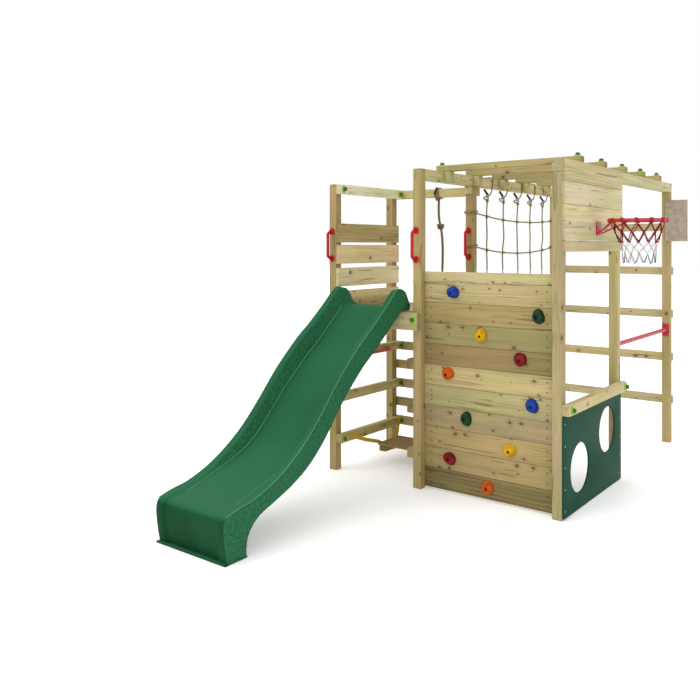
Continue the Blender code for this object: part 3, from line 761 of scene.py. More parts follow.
def make_rope_sling(top):
    """A rope sling round the back top rail, and the black sleeve and hook that hold the rope."""
    low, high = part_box("tower_top_rail_back")
    reach = 0.0055
    middle = Vector((top.x + 0.030, (low.y + high.y) / 2, (low.z + high.z) / 2))
    half_y = (high.y - low.y) / 2 + reach
    half_z = (high.z - low.z) / 2 + reach
    sling = Shape()
    for offset, lean in ((-0.005, 0.25), (0.006, -0.15)):
        centre = middle + Vector((offset, 0, 0))
        loop = rounded_loop(centre, (0, 1, 0), (lean, 0, 1), half_y, half_z, 0.008)
        loop = close_points(loop + [loop[0]], 0.006)[:-1]
        sling.tube(loop, 0.0050, 10, closed=True, strands=3, pitch=0.030)
    sling.done("rope_sling", MATERIALS["net"], slot="rope")
    shackle = Shape()
    head = Vector((middle.x, low.y - 0.010, high.z + 0.010))
    foot = Vector((middle.x - 0.022, low.y - 0.008, low.z + 0.025))
    shackle.tube(close_points([head, foot], 0.008), 0.0075, 14)
    shackle.done("rope_shackle_sleeve", MATERIALS["black"])
    hook = Shape()
    under = Vector((top.x + 0.006, (low.y + high.y) / 2, low.z - 0.018))
    start = Vector((top.x, top.y - 0.004, top.z + 0.010))
    hook.tube(smooth_route([foot, under, start], 10), 0.0042, 10)
    hook.done("rope_hook", MATERIALS["black"])
    eye = Shape()
    points = [top + Vector((0.0, 0.0, -0.005)), top + Vector((0.012, 0.0, 0.010))]
    points += [top + Vector((0.002, -0.003, 0.020)), top + Vector((-0.012, 0.0, 0.010))]
    eye.tube(smooth_route(points + [points[0]], 8)[:-1], 0.0060, 12, closed=True)
    eye.done("rope_eye", MATERIALS["rope"], slot="rope")


# ---------------------------------------------------------------- carried timbers

TONES = {
    "post_wall": (174, 152, 110),
    "post_tower": (164, 140, 96),
    "post_den": (196, 176, 128),
    "post": (178, 156, 110),
    "beam_right": (202, 188, 146),
    "beam": (198, 180, 134),
    "monkey": (174, 155, 108),
    "tower_top_rail_side": (228, 216, 176),
    "tower": (196, 178, 130),
    "side_rail": (190, 170, 122),
    "back_rung": (176, 154, 106),
    "side_board_1": (174, 154, 108),
    # The side boards after the first get much lighter tones: painted light, standing in for the light on their inner
    # faces inside the tower.
    "side_board_2": (228, 198, 154),
    "side_board": (238, 218, 178),
    "ladder": (196, 178, 136),
    "play_panel_rail": (206, 190, 146),
}
STRONG_GRAIN = {"rings": 15.0, "contrast": 1.25, "bend": 6.0}


def tone_for(name):
    return next(tone for start, tone in TONES.items() if name.startswith(start))


def dress_timbers():
    """Each carried timber gets rounded edges and its own piece of wood."""
    for seed, name in enumerate(sorted(NODES), start=11):
        node = NODES[name]
        if not name.startswith(tuple(TONES)) or name == "play_panel":
            continue
        low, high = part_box(name)
        size = high - low
        axis = AXES[max(range(3), key=lambda index: size[index])]
        grain = STRONG_GRAIN if name == "side_board_1" else {}
        material = timber_material(f"wood_{name}", axis, tone_for(name), seed, (low + high) / 2, **grain)
        node.material_slots[0].material = material
        weld = node.modifiers.new("weld", "WELD")
        weld.merge_threshold = 0.00001
        rounding = node.modifiers.new("rounding", "BEVEL")
        rounding.width = 0.0022 if name.startswith("side_board") else 0.0042
        rounding.segments = 3
        rounding.limit_method = "ANGLE"


def timber_piece(name, low, high, tone, seed, nodes=(), bevel=0.003, slot="timber", wobble=0.0011, **grain):
    """A timber made here, not carried over from the frame."""
    low, high = at(*low), at(*high)
    size = high - low
    axis = AXES[max(range(3), key=lambda index: size[index])]
    piece = Shape()
    piece.block(low, high, bevel, wobble=wobble if max(size) > 0.3 else 0.0, seed=seed)
    material = timber_material(f"wood_{name}", axis, tone, seed, (low + high) / 2, **grain)
    return piece.done(name, material, nodes=nodes, slot=slot)


# ---------------------------------------------------------------- climbing wall

WALL_TONES = (
    (132, 112, 72),
    (168, 146, 102),
    (172, 149, 106),
    (168, 146, 106),
    (182, 162, 116),
    (188, 168, 122),
    (148, 125, 84),
    (160, 140, 94),
    (166, 144, 102),
    (184, 163, 120),
)


def make_wall():
    front, thick = 0.045, 0.020
    left, right = WALL_LEFT + 0.0005, -POST - 0.0005
    low, rail_low, top = 0.015, 1.293, 1.357
    pitch = (rail_low - low) / len(WALL_TONES)
    seam = 0.0006
    screws = Shape()
    for number, tone in enumerate(WALL_TONES, start=1):
        start = low + (number - 1) * pitch
        grain = {"rings": 30.0, "contrast": 0.60, "knots": 10.0}
        if number == 1:
            grain = {**STRONG_GRAIN, "knots": 6.0}
        timber_piece(
            f"wall_plank_{number:02d}",
            (left, front, start + seam),
            (right, front + thick, start + pitch - seam),
            tone,
            200 + 7 * number,
            ["climbing_wall"],
            bevel=0.0025,
            slot="board",
            wobble=0.0,
            **grain,
        )
        for x in (left + 0.050, right - 0.045):
            for share in (0.28, 0.72):
                screw_head(screws, at(x, front, start + pitch * share), (0, -1, 0))
    screws.done("wall_screws", MATERIALS["dark_steel"])
    timber_piece(
        "wall_top_rail",
        (left, front - 0.004, rail_low + seam),
        (right, front + thick + 0.012, top),
        (194, 176, 130),
        300,
        ["climbing_wall"],
        slot="timber",
    )
    for number, x in enumerate((left + 0.0005, right - RAIL_DEEP)):
        timber_piece(
            f"wall_batten_{number + 1}",
            (x, front + thick + 0.0004, low + 0.01),
            (x + RAIL_DEEP - 0.0005, front + thick + 0.034, rail_low - 0.01),
            (172, 152, 106),
            310 + number,
        )


# ---------------------------------------------------------------- holds


def make_hold(node, material):
    """A cast lump with a rounded grip edge and a sunk bolt hole off its middle."""
    low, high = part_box(node)
    dice = random.Random(node)
    centre = (low + high) / 2
    base = high.y + 0.0002
    tall = high.y - low.y
    reach = (high.x - low.x) / 2
    upright = (high.z - low.z) / 2
    bolt = Vector((dice.uniform(-0.006, 0.006), dice.uniform(-0.010, -0.002)))
    phases = [dice.uniform(0, 2 * math.pi) for _ in range(3)]
    shape = Shape()
    around, hole = 56, 0.0095
    steps = ((0.0, 0.5), (0.55, 0.5), (0.93, 0.5), (1.0, 0.56), (1.0, 0.93), (1.10, 1.0))
    rings = []

    def outline(angle):
        lobes = 0.045 * math.sin(2 * angle + phases[0]) + 0.035 * math.sin(3 * angle + phases[1])
        lobes += 0.015 * math.sin(5 * angle + phases[2])
        return 0.945 + lobes

    def surface(point):
        """Height of the dome over a point of the wall, and 0 at its outline."""
        angle = math.atan2(point.y / upright, point.x / reach)
        part = math.hypot(point.x / reach, point.y / upright) / outline(angle)
        part = min(part, 1.0)
        dome = (1 - part**3.0) ** 0.55
        lip = 0.10 * math.exp(-(((point.y - 0.018) / 0.012) ** 2)) - 0.06
        rough = noise.noise(Vector((point.x * 60, point.y * 60, phases[0]))) * 0.07
        return tall * dome * min(1.0, 0.93 + lip + rough)

    for share, level in steps:
        ring = []
        for step in range(around):
            angle = 2 * math.pi * step / around
            point = bolt + Vector((math.cos(angle), math.sin(angle))) * hole * share
            ring.append((point, surface(bolt) * level if level < 1.0 else surface(point) - 0.0004))
        rings.append(ring)
    radial = 17
    for number in range(1, radial + 1):
        part = 1 - (1 - number / radial) ** 1.8
        ring = []
        for step in range(around):
            angle = 2 * math.pi * step / around
            toward = Vector((math.cos(angle), math.sin(angle)))
            edge = Vector((toward.x * reach, toward.y * upright)) * outline(angle) * 0.999
            start = bolt + toward * hole * 1.10
            point = start.lerp(edge, part)
            ring.append((point, max(surface(point), 0.0)))
        rings.append(ring)
    made = []
    for ring in rings:
        row = []
        for point, height in ring:
            row.append(shape.mesh.verts.new((centre.x + point.x, base - height, centre.z + point.y)))
        made.append(row)
    for near, far in zip(made, made[1:]):
        for step in range(around):
            after = (step + 1) % around
            shape.mesh.faces.new((near[step], near[after], far[after], far[step]))
    shape.mesh.faces.new(list(reversed(made[0])))
    shape.mesh.faces.new(made[-1])
    shape.done(f"{node}_cast", material, nodes=[node], slot="hold_" + node.split("_")[2], angle=60)
    head = Shape()
    seat = Vector((centre.x + bolt.x, base - surface(bolt) * 0.5 + 0.0002, centre.z + bolt.y))
    profile = ((0.0072, 0.0), (0.0072, 0.0035), (0.0062, 0.0045), (0.0036, 0.0045), (0.0032, 0.0020), (0.0, 0.0020))
    head.turned(profile, seat, (0, -1, 0), 18)
    head.done(f"{node}_bolt", MATERIALS["dark_steel"])


# ---------------------------------------------------------------- hoop and its board

HOOP_SEAMS = (1.483, 1.548, 1.655, 1.747, 1.876, 2.0)
HOOP_TONES = ((196, 174, 130), (206, 188, 150), (214, 198, 158), (214, 198, 160), (204, 180, 136))
HOOP = (0.25, 0.515, 1.665)
HOOP_RADIUS, HOOP_WIRE = 0.155, 0.008
HOOP_HOOKS = 12


def make_hoop_board():
    long, thick = 0.963, 0.018
    for number, (low, high) in enumerate(zip(HOOP_SEAMS, HOOP_SEAMS[1:]), start=1):
        top = number == 5
        timber_piece(
            f"hoop_board_{number}",
            (0.0004, 0.0, low + 0.0009),
            (thick, long, high - 0.0009),
            HOOP_TONES[number - 1],
            400 + 13 * number,
            ["hoop_board"],
            bevel=0.002,
            slot="board",
            rings=17.0 if top else 30.0,
            contrast=0.85 if top else 0.50,
            knots=7.0,
            bend=5.0 if top else 1.6,
        )


def ring_points(centre, radius, count):
    points = []
    for step in range(count):
        angle = 2 * math.pi * step / count
        points.append(Vector(centre) + Vector((math.cos(angle), math.sin(angle), 0.0)) * radius)
    return points


def make_hoop():
    centre = at(*HOOP)
    hoop, wraps = Shape(), Shape()
    hoop.tube(ring_points(centre, HOOP_RADIUS, 72), HOOP_WIRE, 14, closed=True)
    hoop.block(at(0.0184, 0.479, 1.578), at(0.0245, 0.552, 1.658), 0.0015)
    foot = at(0.0225, HOOP[1], 1.588)
    for angle in (-52, 0, 52):
        out = Vector((-math.cos(math.radians(angle)), math.sin(math.radians(angle)), 0.0))
        far = centre + out * (HOOP_RADIUS - 0.004) - Vector((0, 0, 0.003))
        near = foot + Vector((0, 0.026 * math.copysign(1, angle) if angle else 0.0, 0))
        hoop.tube([near, near.lerp(far, 0.5), far], 0.0048, 10)
    hoop.done("hoop_welded", MATERIALS["red"], nodes=["hoop"], slot="red_metal")
    for step in range(HOOP_HOOKS):
        angle = 2 * math.pi * (step + 0.5) / HOOP_HOOKS
        out = Vector((math.cos(angle), math.sin(angle), 0.0))
        along = Vector((-math.sin(angle), math.cos(angle), 0.0))
        wraps.coil(centre + out * HOOP_RADIUS, along, HOOP_WIRE + 0.0024, 3.0, 0.018, 0.0028)
    wraps.done("hoop_net_wraps", MATERIALS["net_red"], slot="net_cord", angle=80)
    bolts = Shape()
    for y in (0.495, 0.536):
        for z in (1.594, 1.643):
            bolt_head(bolts, at(0.0245, y, z), (1, 0, 0), 0.0065)
    bolts.done("hoop_bolts", MATERIALS["steel"])


def make_hoop_net():
    """Doubled red cord in a diamond pattern, then thin white cord, then blue loops at the end."""
    centre = at(*HOOP)
    rows = ((1.652, 0.149), (1.597, 0.128), (1.540, 0.106), (1.508, 0.098), (1.475, 0.091), (1.418, 0.087))

    def corner(row, step, slip=0.0):
        height, radius = rows[row]
        angle = 2 * math.pi * (step + 0.5 * (row % 2) + 0.5 + slip) / HOOP_HOOKS
        reach = radius + 0.004 * math.sin(5.0 * step + 2.0 * row)
        drop = 0.004 * math.cos(3.0 * step + row)
        drift = 0.05 * (rows[0][0] - height)
        return Vector((centre.x + drift + reach * math.cos(angle), centre.y + reach * math.sin(angle), height + drop))

    bands = (("red", (0, 1), 0.0030, (-0.035, 0.045)), ("white", (2, 3), 0.0019, (0.0,)))
    for colour, levels, wire, slips in bands:
        cords = Shape()
        for row in levels:
            for step in range(HOOP_HOOKS):
                for side in (0, 1):
                    other = step - side if row % 2 == 0 else step + side
                    for slip in slips:
                        start, end = corner(row, step, slip), corner(row + 1, other, slip)
                        middle = start.lerp(end, 0.5) - Vector((0, 0, 0.003))
                        line = smooth_route([start, middle, end], 4)
                        cords.tube(line, wire, 7, strands=3, pitch=0.014, depth=0.25)
                knot = ((0.0, -0.006), (wire * 1.6, -0.004), (wire * 2.1, 0.0), (wire * 1.6, 0.004), (0.0, 0.006))
                cords.turned(knot, corner(row + 1, step), (0, 0, 1), 8)
        cords.done(
            f"hoop_net_{colour}", MATERIALS[f"net_{colour}"], nodes=["hoop_net"], slot="net_cord", angle=80
        )
    loops = Shape()
    for step in range(HOOP_HOOKS):
        start, end, low = corner(4, step), corner(4, step + 1), corner(5, step)
        bend = (start.lerp(end, 0.5) - start) * 0.35
        line = smooth_route([start, start.lerp(low, 0.6) - bend * 0.4, low, end.lerp(low, 0.6) + bend * 0.4, end], 5)
        loops.tube(line, 0.0021, 7, strands=3, pitch=0.014, depth=0.25)
    loops.done("hoop_net_blue", MATERIALS["net_blue"], nodes=["hoop_net"], slot="net_cord", angle=80)


# ---------------------------------------------------------------- fasteners


def bolt_head(shape, place, direction, radius):
    """A domed hexagon-socket head on a washer."""
    profile = ((1.5, 0.0), (1.5, 0.18), (1.0, 0.2), (0.95, 0.5), (0.65, 0.72), (0.42, 0.75), (0.38, 0.35), (0.0, 0.35))
    shape.turned([(out * radius, up * radius) for out, up in profile], place, direction, 16)


def screw_head(shape, place, direction, size=1.0):
    """A countersunk head with a small recess, nearly flush."""
    profile = ((0.0042, -0.0008), (0.0042, 0.0005), (0.0036, 0.0009), (0.0018, 0.0009), (0.0013, -0.0004))
    scaled = [(radius * size, height) for radius, height in profile]
    shape.turned(scaled + [(0.0, -0.0004)], place, direction, 12)


def make_caps():
    """Two-part bolt caps: a wide pale flange that the bolt holds, and a darker lid in it."""
    flanges, lids = Shape(), Shape()
    places = []
    for number in range(1, 6):
        low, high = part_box(f"monkey_bar_{number}")
        for x in (-POST / 2, WALL_LEFT - POST / 2):
            places.append((Vector((at(x, 0, 0).x, (low.y + high.y) / 2, BAR_TOP)), (0, 0, 1)))
    inner = TOWER_LEFT + RAIL_DEEP
    places += [(at(inner, y, 1.899), (1, 0, 0)) for y in (0.029, 0.705)]
    places += [(at(inner, 0.705, z), (1, 0, 0)) for z in (0.215, 0.497, 0.777)]
    places += [(at(inner, 0.029, 0.215), (1, 0, 0))]
    places += [(at(x, -RAIL_DEEP, 1.057), (0, -1, 0)) for x in (WALL_LEFT - POST / 2, LEFT_END + POST / 2)]
    places += [(at(RAIL_DEEP, y, 0.611), (1, 0, 0)) for y in (0.035, 0.942)]
    places += [(at(TOWER_LEFT + 0.020, TOWER_BACK + POST + RAIL_DEEP, z), (0, 1, 0)) for z in (0.350, 0.630)]
    flange = ((0.0225, 0.0), (0.0225, 0.0022), (0.0195, 0.0042), (0.0165, 0.0070), (0.0145, 0.0074), (0.0, 0.0074))
    lid = ((0.0140, 0.0060), (0.0140, 0.0150), (0.0118, 0.0195), (0.0066, 0.0222), (0.0, 0.0228))
    for place, direction in places:
        flanges.turned(flange, place, direction, 22)
        lids.turned(lid, place, direction, 16)
    flanges.done("bolt_caps", MATERIALS["cap"], angle=50)
    lids.done("bolt_cap_lids", MATERIALS["lid"], angle=50)


def make_screws():
    screws = Shape()
    for z in (0.05, 0.17, 0.29, 0.41, 0.53):
        for y in (0.022, 0.938):
            screw_head(screws, at(0.010, y, z), (1, 0, 0), 1.3)
    for low, high in zip(HOOP_SEAMS, HOOP_SEAMS[1:]):
        for share in (0.28, 0.72):
            for y in (0.028, 0.948):
                screw_head(screws, at(0.018, y, low + (high - low) * share), (1, 0, 0))
    for number in range(1, 5):
        low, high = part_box(f"side_board_{number}")
        for y in (0.029, 0.704):
            for share in (0.28, 0.72):
                place = Vector((high.x, at(0, y, 0).y, low.z + (high.z - low.z) * share))
                screw_head(screws, place, (1, 0, 0))
    for number in range(1, 6):
        for node, face, direction in ((f"ladder_rung_{number}", "back", (0, 1, 0)), (f"back_rung_{number}", "back", (0, 1, 0))):
            low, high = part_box(node)
            middle = (low.z + high.z) / 2
            for x in (low.x + POST / 2, high.x - POST / 2):
                for offset in (-0.014, 0.014):
                    screw_head(screws, Vector((x, high.y, middle + offset)), direction)
    screws.done("wood_screws", MATERIALS["steel"])


# ---------------------------------------------------------------- play panel


def make_play_panel():
    """A sheet with two round holes and softened edges."""
    low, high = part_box("play_panel")
    curve = bpy.data.curves.new("play_panel_outline", "CURVE")
    curve.dimensions = "2D"
    curve.fill_mode = "BOTH"
    curve.bevel_depth = 0.0014
    curve.bevel_resolution = 2
    edge = curve.bevel_depth
    curve.extrude = (high.x - low.x) / 2 - edge
    start, end = at(0, 0, 0), at(0, 0.96, 0)
    loops = [rounded_loop(
        ((start.y + end.y) / 2, (low.z + high.z) / 2, 0),
        (1, 0, 0),
        (0, 1, 0),
        (end.y - start.y) / 2 - edge,
        (high.z - low.z) / 2 - edge,
        0.012,
        8,
    )]
    for y, z, radius in ((0.245, 0.246, 0.142), (0.70, 0.378, 0.140)):
        loops.append(ring_points((start.y + y, z, 0), radius + edge, 96))
    for loop in loops:
        spline = curve.splines.new("POLY")
        spline.points.add(len(loop) - 1)
        spline.use_cyclic_u = True
        for target, point in zip(spline.points, loop):
            target.co = (point[0], point[1], 0.0, 1.0)
    holder = bpy.data.objects.new("play_panel_outline", curve)
    bpy.context.scene.collection.objects.link(holder)
    bpy.context.view_layer.update()
    data = bpy.data.meshes.new_from_object(holder.evaluated_get(bpy.context.evaluated_depsgraph_get()))
    bpy.data.objects.remove(holder, do_unlink=True)
    # The outline's own axes become Y, Z and X
    stand = Matrix(((0, 0, 1, (low.x + high.x) / 2), (1, 0, 0, 0), (0, 1, 0, 0), (0, 0, 0, 1)))
    data.transform(stand)
    shape = Shape()
    shape.mesh.from_mesh(data)
    bmesh.ops.remove_doubles(shape.mesh, verts=shape.mesh.verts, dist=0.00001)
    shape.done("play_panel_sheet", MATERIALS["panel"], nodes=["play_panel"], slot="panel_green")


# ---------------------------------------------------------------- tower deck and side pieces


def make_deck():
    tone = (186, 168, 120)
    timber_piece(
        "deck_front_beam",
        (LEFT_END + HALF_GAP, -RAIL_DEEP, 0.99),
        (WALL_LEFT - HALF_GAP, -HALF_GAP, DECK_TOP),
        (188, 170, 122),
        500,
        ["deck"],
        bevel=0.004,
    )
    inner_left, inner_right = TOWER_LEFT + 0.0005, WALL_LEFT - POST - 0.0005
    back = TOWER_BACK + POST
    boards = 7
    pitch = (back - 0.001) / boards
    for number in range(boards):
        start = 0.0005 + number * pitch
        timber_piece(
            f"deck_board_{number + 1}",
            (inner_left, start, DECK_TOP - 0.0225),
            (inner_right, start + pitch - 0.006, DECK_TOP - 0.0005),
            tone,
            510 + number,
            ["deck"],
            slot="board",
        )
    for number, x in enumerate((inner_left, inner_right - RAIL_DEEP)):
        timber_piece(
            f"deck_joist_{number + 1}",
            (x, 0.0005, 1.02),
            (x + RAIL_DEEP, back - 0.001, DECK_TOP - 0.023),
            tone,
            520 + number,
            ["deck"],
        )


def make_extra_rails():
    """Rails, blocks and plates that are too many for the frame's own list."""
    inner = WALL_LEFT - POST
    back = TOWER_BACK + POST
    for number, low in enumerate((0.467, 0.747), start=2):
        timber_piece(
            f"side_rail_right_{number}",
            (inner - RAIL_DEEP, 0.0003, low),
            (inner - 0.0003, back - 0.0003, low + 0.06),
            (176, 156, 108),
            530 + number,
        )
    for name, x in (("left", TOWER_LEFT + 0.018), ("right", inner - RAIL_DEEP - 0.0003)):
        timber_piece(
            f"kick_rail_{name}",
            (x + 0.0003, 0.07, DECK_TOP + 0.0005),
            (x + RAIL_DEEP, back - 0.0003, DECK_TOP + 0.06),
            (188, 170, 124),
            540 + len(name),
        )
    for number in range(1, 6):
        low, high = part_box(f"monkey_bar_{number}")
        start, end = low.y - ORIGIN.y, high.y - ORIGIN.y
        timber_piece(
            f"bar_block_{number}",
            (WALL_LEFT + 0.0003, start, BEAM_LOW),
            (WALL_LEFT + 0.045, end, BEAM_HIGH - 0.0003),
            (190, 172, 126),
            550 + number,
        )
    timber_piece(
        "post_end_block",
        (-0.969, TOWER_BACK - 0.020, 1.877),
        (-0.914, TOWER_BACK - 0.0003, 1.9295),
        (204, 188, 148),
        570,
    )
    sign = Shape()
    sign.block(at(-0.031, FRAME_BACK - 0.0105, 1.552), at(0.131, FRAME_BACK - 0.0005, 1.868), 0.0015)
    sign.done("blank_plate", MATERIALS["sign"])


# ---------------------------------------------------------------- bars and handles


def bar_plate(shape, centre, axis_sign):
    """A flat fixing plate across a bar that runs along Y."""
    low = centre + Vector((-0.027, min(0, axis_sign) * 0.005, -0.050))
    high = centre + Vector((0.027, max(0, axis_sign) * 0.005, 0.045))
    shape.block(low, high, 0.0014)
    for z in (-0.038, 0.033):
        bolt_head(shape, centre + Vector((0, axis_sign * 0.005, z)), (0, axis_sign, 0), 0.006)


def make_bars():
    """The gym bar between two posts, and the small grab bar on the tower's left rail."""
    x, z = -0.029, 0.871
    bar = Shape()
    start, end = DEN_BACK + POST + 0.0003, FRAME_BACK - 0.0003
    bar.tube(close_points([at(x, start + 0.003, z), at(x, end - 0.003, z)], 0.1), 0.0145, 24)
    bar_plate(bar, at(x, start, z), 1)
    bar_plate(bar, at(x, end, z), -1)
    bar.done("gym_bar_round", MATERIALS["red"], nodes=["gym_bar"], slot="red_metal")
    face, proud, z = TOWER_LEFT + RAIL_DEEP + 0.0003, 0.030, 0.768
    near, far = 0.140, 0.545
    route = [at(face + 0.003, near, z), at(face + 0.018, near + 0.004, z), at(face + proud, near + 0.022, z)]
    route += [at(face + proud, (near + far) / 2, z)]
    route += [at(face + proud, far - 0.022, z), at(face + 0.018, far - 0.004, z), at(face + 0.003, far, z)]
    grab = Shape()
    grab.tube(smooth_route(route, 8), 0.0100, 18)
    for y in (near, far):
        plate = ((0.0165, 0.0), (0.0165, 0.003), (0.0150, 0.0042), (0.0, 0.0042))
        grab.turned(plate, at(face, y, z), (1, 0, 0), 24)
    grab.done("tower_grab_bar", MATERIALS["red"], slot="red_metal")


def make_handles():
    """Moulded grips: a straight bar on two short necks, each with a round pad and its screw cap."""
    proud, neck = 0.045, 0.024
    for node in ("handle_tower_left", "handle_tower_right", "handle_tower_back"):
        low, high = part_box(node)
        x = (low.x + high.x) / 2 - 0.006
        face = high.y + 0.0003
        bottom, top = low.z + 0.0325, high.z - 0.0330
        profile = ((0.004, 0.0), (0.014, 0.0), (0.030, 0.007), (proud - 0.002, 0.016), (proud, neck))
        route = [Vector((x, face - out, bottom + rise)) for out, rise in profile]
        route += [Vector((x, face - proud, (bottom + top) / 2))]
        route += [Vector((x, face - out, top - rise)) for out, rise in reversed(profile)]
        grip = Shape()
        grip.tube(smooth_route(route, 8), 0.0096, 18)
        for z, lean in ((bottom, -1), (top, 1)):
            pad = ((0.0225, 0.0), (0.0225, 0.004), (0.0205, 0.0075), (0.0150, 0.0095), (0.0, 0.0098))
            grip.turned(pad, (x, face - 0.0003, z), (0, -1, 0), 28)
            lid = ((0.0065, 0.0), (0.0065, 0.0022), (0.0050, 0.0032), (0.0, 0.0034))
            grip.turned(lid, (x, face - 0.0095, z + lean * 0.013), (0, -1, 0), 14)
        grip.done(f"{node}_moulded", MATERIALS["grip"], nodes=[node], slot="red_plastic", angle=50)


# ---------------------------------------------------------------- cargo net


def row_height(row, y):
    """How a slack row hangs between its two posts."""
    low, curve, middle = NET_ROWS[row]
    return low + curve * (y - middle) ** 2


def make_net():
    net = Shape()
    start, end = TOWER_BACK + POST, FRAME_BACK
    for row in range(len(NET_ROWS)):
        points = []
        for step in range(25):
            y = start + 0.008 + (end - start - 0.016) * step / 24
            sway = 0.004 * math.sin(9 * y + row)
            points.append(at(NET_X + sway, y, row_height(row, y)))
        line = close_points(smooth_route(points, 6), 0.005)
        net.tube(line, NET_ROPE, 9, strands=3, pitch=0.034, depth=0.22)
    for number, upright in enumerate(NET_UPRIGHTS):
        points = [at(NET_X, upright, NET_JOIN)]
        heights = [row_height(row, upright) for row in range(len(NET_ROWS))]
        for row, height in enumerate(heights):
            sway = 0.006 * math.sin(3.0 * row + 2.0 * number)
            points.append(at(NET_X - 0.006, upright + sway, height))
            if row + 1 < len(heights):
                below = (height + heights[row + 1]) / 2
                points.append(at(NET_X - 0.002, upright + 1.6 * sway, below))
        points.append(at(NET_X, upright, NET_BOTTOM + 0.02))
        line = close_points(smooth_route(points, 8), 0.005)
        net.tube(line, NET_ROPE, 9, strands=3, pitch=0.034, depth=0.22)
        for height in heights:
            net.coil(at(NET_X - 0.002, upright, height), (0.25, 0.5, 1), 0.0085, 2.2, 0.017, 0.0042, number)
        knot_points_low = knot_points(at(NET_X, upright, NET_BOTTOM + 0.018), 0.0044)
        net.tube(knot_points_low, 0.0052, 8, closed=True)
    net.done("cargo_net_ropes", MATERIALS["net"], nodes=["cargo_net"], slot="rope", angle=80)
    make_net_ties()
    make_net_hangers()


def make_net_ties():
    """Each row is tied round the post at its end."""
    ties = Shape()
    for post_y in (TOWER_BACK + POST / 2, FRAME_BACK + POST / 2):
        for row in range(2 if post_y < 1 else len(NET_ROWS)):
            height = row_height(row, post_y + math.copysign(POST / 2, 1 - post_y))
            half = POST / 2 + NET_ROPE
            for turn in (-1, 1):
                centre = at(NET_X, post_y, height + turn * NET_ROPE)
                loop = rounded_loop(centre, (1, 0, 0), (0, 1, 0.07 * turn), half, half, 0.008, 4)
                ties.tube(close_points(loop + [loop[0]], 0.008)[:-1], NET_ROPE, 9, closed=True, strands=3, pitch=0.034)
            side = 1 if post_y < 1 else -1
            place = at(NET_X, post_y + side * (POST / 2 + 0.016), height)
            ties.coil(place, (0, 1, 0), 0.0085, 3, 0.022, 0.0045)
    ties.done("cargo_net_ties", MATERIALS["net"], slot="rope", angle=80)


def make_net_hangers():
    """A rope loop over the beam and a snap hook with a black sleeve at the head of each upright."""
    slings, hooks, sleeves = Shape(), Shape(), Shape()
    low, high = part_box("beam_left")
    right, left = high.x - ORIGIN.x + 0.006, low.x - ORIGIN.x - 0.006
    top = BEAM_HIGH + 0.006
    for number, y in enumerate(NET_HANGERS):
        join = NET_UPRIGHTS[number]
        route = (
            (right, y + 0.010, 1.969),
            (right, y, 1.925),
            (right - 0.006, y - 0.020, 1.885),
            (-0.925, y - 0.050, 1.868),
            (-0.935, y - 0.072, 1.862),
            (-0.940, y - 0.050, 1.850),
            (NET_X, join - 0.004, NET_JOIN + 0.004),
            (-0.950, y + 0.020, 1.872),
            (left, y + 0.028, 1.922),
            (left, y + 0.020, top - 0.004),
            (left + 0.014, y + 0.016, top + 0.001),
            (right - 0.014, y + 0.010, top + 0.001),
            (right, y + 0.010, top - 0.008),
        )
        line = smooth_route([at(*point) for point in route + (route[0],)], 8)[:-1]
        slings.tube(close_points(line + [line[0]], 0.006)[:-1], 0.0052, 9, closed=True, strands=3, pitch=0.032)
        slings.coil(at(NET_X, join, NET_JOIN - 0.006), (0.2, 0.3, 1), 0.0070, 2.0, 0.014, 0.0040, number)
        head, foot = at(-0.985, y + 0.030, 1.925), at(-0.955, y + 0.022, 1.889)
        sleeves.tube(close_points([head, foot], 0.008), 0.0082, 12)
        end = at(NET_X - 0.002, join + 0.004, NET_JOIN)
        along = (end - foot).normalized()
        across = along.cross(Vector((0, 1, 0))).normalized()
        half = (end - foot).length / 2 + 0.004
        hooks.tube(rounded_loop((foot + end) / 2, along, across, half, 0.0105, 0.010, 8), 0.0030, 10, closed=True)
    slings.done("cargo_net_slings", MATERIALS["net"], slot="rope", angle=80)
    hooks.done("snap_hooks", MATERIALS["steel"])
    sleeves.done("snap_hook_sleeves", MATERIALS["black"])


# ---------------------------------------------------------------- slide


def rounded_corners(points, cuts, steps=4):
    """A polyline with each inner corner replaced by a short curve."""
    made = [points[0]]
    for index in range(1, len(points) - 1):
        before, corner, after = points[index - 1], points[index], points[index + 1]
        cut = cuts[index - 1]
        start = corner + (before - corner) * min(0.48, cut / max((before - corner).length, 1e-6))
        end = corner + (after - corner) * min(0.48, cut / max((after - corner).length, 1e-6))
        for step in range(steps + 1):
            t = step / steps
            made.append(start * (1 - t) ** 2 + corner * 2 * t * (1 - t) + end * t**2)
    made.append(points[-1])
    return made


def slide_row(rim, bed, low):
    """The left half of a cross-section, from the lower edge of the side to the middle of the bed."""
    rim, bed, low = (Vector((0.0, *pair)) for pair in (rim, bed, low))
    lift = Vector((0.0, 0.0, 0.0045 if rim.z > 0.01 else 0.0))
    # The front of the nose is a panel set back between two cheeks
    inset = Vector((0.0, 0.010 * min(1.0, max(0.0, (-rim.y - 1.47) / 0.06)), 0.0))
    # A narrow ledge runs along the foot of each flank until the bed comes up to the rim
    ledge = Vector((0.0, 0.0, 0.010 if rim.y > -1.15 else 0.003 if rim.y > -1.30 else 0.0))

    def put_at(half, point):
        return Vector((-half, point.y, point.z))

    points = [
        put_at(0.2500, low),
        put_at(0.2497, low.lerp(rim, 0.12)),
        put_at(0.2488, low.lerp(rim, 0.88)),
        put_at(0.2485, rim + lift),
        put_at(0.2060, rim + lift * 0.2),
        put_at(0.1840, bed + ledge + inset),
        put_at(0.1760, bed + ledge + inset),
        put_at(0.1690, bed + inset),
        put_at(0.0800, bed + inset),
        put_at(0.0, bed + inset),
    ]
    return rounded_corners(points, (0.004, 0.004, 0.006, 0.004, 0.003, 0.002, 0.003, 0.01), 3)


